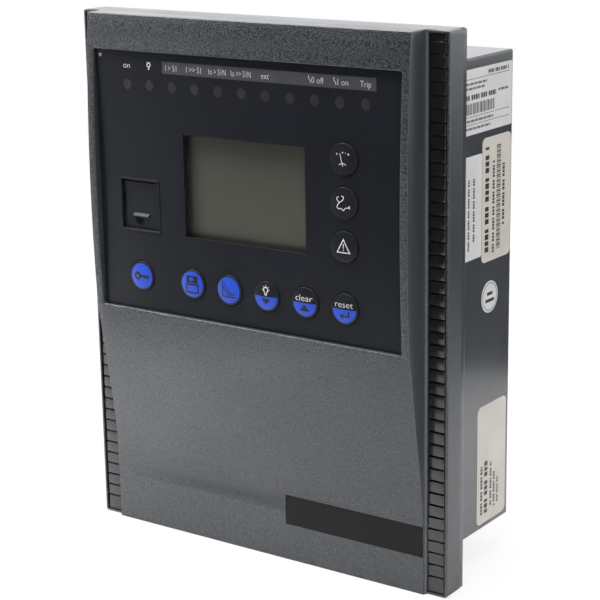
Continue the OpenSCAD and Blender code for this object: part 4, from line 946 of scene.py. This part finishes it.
def scaled(tree, vector, factor):
    """Vector times one of the tree's inputs."""
    inputs = {0: vector, "Scale": factor}
    return new_node(tree, "ShaderNodeVectorMath", inputs, operation="SCALE").outputs["Vector"]


def share(tree, part, whole):
    """Part of one of the tree's inputs."""
    inputs = {0: whole, 1: part}
    return new_node(tree, "ShaderNodeMath", inputs, operation="MULTIPLY").outputs["Value"]


def rotated(tree, solid, about_x, about_y):
    """Solid turned by angles in degrees."""
    angles = (math.radians(about_x), math.radians(about_y), 0)
    inputs = {"Geometry": solid.outputs["Mesh"], "Rotation": angles}
    return new_node(tree, "GeometryNodeTransform", inputs).outputs["Geometry"]


def spring_wire(tree, given):
    """Contact wire that rises from the jack's floor in a bow."""
    bow = new_node(tree, "GeometryNodeCurveQuadraticBezier", {
        "Resolution": 8, "Start": (0, 0, 0),
        "Middle": scaled(tree, (0, 0.55, 0.08), given["Reach"]),
        "End": scaled(tree, (0, 1.0, -0.45), given["Reach"]),
    })
    ring = new_node(tree, "GeometryNodeCurvePrimitiveCircle", {
        "Resolution": 6, "Radius": share(tree, 0.5, given["Size"]),
    })
    tube = new_node(tree, "GeometryNodeCurveToMesh", {
        "Curve": bow.outputs["Curve"], "Profile Curve": ring.outputs["Curve"], "Fill Caps": True,
    })
    return tube.outputs["Mesh"]


def sleeve(tree, given):
    """Round contact sleeve that sits in a pin hole."""
    tube = new_node(tree, "GeometryNodeMeshCylinder", {
        "Vertices": 10, "Radius": given["Size"], "Depth": given["Reach"],
    })
    return rotated(tree, tube, 90, 0)


def clamp_plate(tree, given):
    """Ridged clamp at the bottom of a wire entry."""
    plate = new_node(tree, "GeometryNodeMeshCone", {
        "Vertices": 4, "Radius Bottom": given["Size"],
        "Radius Top": share(tree, 0.6, given["Size"]), "Depth": given["Reach"],
    })
    return rotated(tree, plate, -90, 45)


def row_piece(name, tree, material, slot, rows, count, step, size, reach):
    """Plain mesh of one or more rows that a tree makes, as one piece."""
    shape = bmesh.new()
    for start in rows:
        holder = new_object(name, bpy.data.meshes.new(name))
        modifier = holder.modifiers.new("Row", "NODES")
        modifier.node_group = tree
        values = {
            "Count": count, "Start": start, "Step": step,
            "Size": size, "Reach": reach, "Finish": material,
        }
        for socket in tree.interface.items_tree:
            if socket.in_out == "INPUT" and socket.name in values:
                modifier[socket.identifier] = values[socket.name]
        bpy.context.view_layer.update()
        made = holder.evaluated_get(bpy.context.evaluated_depsgraph_get())
        shape.from_mesh(bpy.data.meshes.new_from_object(made))
        bpy.data.objects.remove(holder)
    mesh = new_mesh(name, shape)
    if not mesh.polygons:
        raise RuntimeError(name + " came out empty")
    return add_piece(name, mesh, material, HOUSING, slot, 40)


class RELAY_OT_contacts(RelayStep):
    """Puts the metal contacts into the jacks, the module socket and the wire entries"""

    bl_idname = "relay.contacts"
    bl_label = "Contacts"

    def make(self):
        gilt, zinc = finish("contact_gilt"), finish("zinc_steel")
        size = sizes()
        wires = row_tree("Jack wires", spring_wire)
        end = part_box("network_jacks")[1]
        first = -(size.contacts - 1) / 2 * JACK_PITCH
        rows = [(x + first, end.y - JACK_FOOT[0], end.z - JACK_FOOT[1]) for x in JACK_PLACES]
        row_piece("jack_wires", wires, gilt, "terminal_brass", rows, size.contacts,
                  (JACK_PITCH, 0, 0), size.wire_d, WIRE_REACH)
        sleeves = row_tree("Socket sleeves", sleeve)
        centre, end = middle("module_socket_insert"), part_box("module_socket_insert")[1]
        for row, pins in enumerate(PIN_ROWS):
            first = centre.x - (pins - 1) / 2 * PIN_PITCH
            start = (first, end.y - SLEEVE_IN, centre.z + (0.5 - row) * PIN_ROW_GAP)
            row_piece("socket_sleeves_" + "ab"[row], sleeves, gilt, "terminal_brass", [start], pins,
                      (PIN_PITCH, 0, 0), SLEEVE_R, SLEEVE_L)
        clamps = row_tree("Wire clamps", clamp_plate)
        step = POLE_PITCH * MM
        for letter in "ab":
            plug = "terminal_plug_" + letter
            centre, end = middle(plug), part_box(plug)[1]
            bottom = centre.z - (POLES - 1) / 2 * step
            start = (centre.x - CLAMP_ASIDE, end.y - CLAMP_IN, bottom)
            row_piece("wire_clamps_" + letter, clamps, zinc, "zinc_steel", [start], POLES,
                      (0, 0, step), CLAMP_R, CLAMP_H)


class RELAY_OT_stage(RelayStep):
    """Sets up the floor, the light and the camera"""

    bl_idname = "relay.stage"
    bl_label = "Stage"

    def make(self):
        bpy.context.scene.view_settings.view_transform = "Standard"
        self.world()
        self.floor()
        self.lamps()
        self.cards()
        self.camera()

    def world(self):
        world = bpy.data.worlds.new("studio")
        world.use_nodes = True
        bpy.context.scene.world = world
        tree = world.node_tree
        back = tree.nodes["Background"]
        rays = tree.nodes.new("ShaderNodeLightPath")
        seen = rays.outputs["Is Camera Ray"]
        for ray in ("Is Glossy Ray", "Is Transmission Ray"):
            inputs = {0: seen, 1: rays.outputs[ray]}
            seen = new_node(tree, "ShaderNodeMath", inputs, operation="MAXIMUM").outputs["Value"]
        inputs = {"Value": seen, "To Min": 0.42, "To Max": 1.0}
        level = new_node(tree, "ShaderNodeMapRange", inputs)
        back.inputs["Color"].default_value = (1, 1, 1, 1)
        tree.links.new(level.outputs["Result"], back.inputs["Strength"])

    def floor(self):
        """White floor that glows in the picture, so that only a soft shadow shows on it."""
        half, height = 3.0, CAD_BOX[0][2]
        finish = Finish("floor_white", (0.88, 0.88, 0.88), 0.9)
        outline = ((-half, -half), (half, -half), (half, half), (-half, half))
        self.board("floor", [(*corner, height) for corner in outline], finish.material)
        rays = finish.node("ShaderNodeLightPath")
        away = finish.node("ShaderNodeVectorMath", {0: finish.place}, operation="LENGTH")
        fade = finish.ramp(away.outputs["Value"], 0.2, 0.8, 0.86, 1.0)
        glow = finish.node("ShaderNodeEmission")
        mix = finish.node("ShaderNodeMixShader", {
            "Fac": finish.product(rays.outputs["Is Camera Ray"], fade),
            1: finish.shader.outputs["BSDF"], 2: glow.outputs["Emission"],
        })
        surface = finish.tree.nodes["Material Output"].inputs["Surface"]
        finish.tree.links.new(mix.outputs["Shader"], surface)

    def board(self, name, corners, material):
        """Flat board of the stage."""
        mesh = bpy.data.meshes.new(name)
        mesh.from_pydata(corners, [], [(0, 1, 2, 3)])
        mesh.materials.append(material)
        board = new_object(name, mesh)
        return board

    def lamps(self):
        self.lamp("top", (0.1, 0.25, 1.2), (0, 0, 0), 1.6, 14)
        self.lamp("right", (1.15, 0.95, 0.45), (0, 0, 0), 1.2, 3.6)
        self.lamp("edge", (-0.72, -0.33, 1.03), (0, 0, 0), 0.4, 14)
        self.lamp("rear", (-0.95, 1.35, 0.5), (0, 0, 0.05), 1.3, 3.8)
        self.lamp("front", (-0.07, -0.14, 0.9), (-0.07, -0.14, 0), 0.6, 1.7, 60)

    def cards(self):
        """Dark boards out of the picture, which the upper front and the side walls mirror."""
        black = Finish("card_black", (0.06, 0.06, 0.062), 0.9).material
        self.card("card_front", Vector((0.078, -0.330)), Vector((0.252, -0.178)), 0.02, 0.45, black)
        self.card("card_side", Vector((0.235, 0.238)), Vector((0.25, -0.176)), 0.0, 0.06, black)

    def card(self, name, away, half, lift, head, black):
        """Upright board round a middle, from a lift above the floor up to a head."""
        left, right, foot = away - half, away + half, CAD_BOX[0][2] + lift
        corners = [(*left, foot), (*right, foot), (*right, head), (*left, head)]
        self.board(name, corners, black).visible_camera = False

    def lamp(self, name, place, target, size, watts, spread=180):
        data = bpy.data.lights.new(name, "AREA")
        data.shape = "SQUARE"
        data.size = size
        data.energy = watts
        data.spread = math.radians(spread)
        light = new_object(name, data)
        aim = (Vector(target) - Vector(place)).to_track_quat("-Z", "Y")
        light.matrix_world = Matrix.Translation(place) @ aim.to_matrix().to_4x4()

    def camera(self):
        """Camera whose place, turn and lens were fitted to the photo."""
        data = bpy.data.cameras.new("camera")
        data.sensor_width = 36
        data.lens = 107.45
        data.clip_start = 0.05
        camera = new_object("camera", data)
        right, up = (0.8194, 0.5731, -0.0156), (-0.1353, 0.2196, 0.9662)
        back = (0.5571, -0.7895, 0.2575)
        turn = Matrix((right, up, back)).transposed().to_4x4()
        camera.matrix_world = Matrix.Translation((0.4160, -0.5741, 0.1841)) @ turn
        bpy.context.scene.camera = camera


STEPS = (
    RELAY_OT_stage, RELAY_OT_finishes, RELAY_OT_mouldings, RELAY_OT_key_prints, RELAY_OT_legends,
    RELAY_OT_side_labels, RELAY_OT_terminal_marks, RELAY_OT_contacts,
)


class RELAY_PT_steps(bpy.types.Panel):
    """Lists the steps, the colours and the sizes"""

    bl_label = "Protection relay"
    bl_space_type = "VIEW_3D"
    bl_region_type = "UI"
    bl_category = "Relay"

    def draw(self, context):
        for step in STEPS:
            self.layout.operator(step.bl_idname)
        for group in (context.scene.relay_colours, context.scene.relay_sizes):
            for name in group.bl_rna.properties.keys():
                if name not in ("rna_type", "name"):
                    self.layout.prop(group, name)


CLASSES = (RelayColours, RelaySizes, *STEPS, RELAY_PT_steps)


def register():
    for entry in CLASSES:
        bpy.utils.register_class(entry)
    bpy.types.Scene.relay_colours = PointerProperty(type=RelayColours)
    bpy.types.Scene.relay_sizes = PointerProperty(type=RelaySizes)


def unregister():
    del bpy.types.Scene.relay_sizes
    del bpy.types.Scene.relay_colours
    for entry in reversed(CLASSES):
        bpy.utils.unregister_class(entry)


def main():
    register()
    for step in STEPS:
        area_name, call = step.bl_idname.split(".")
        getattr(getattr(bpy.ops, area_name), call)()


if __name__ == "__main__":
    main()
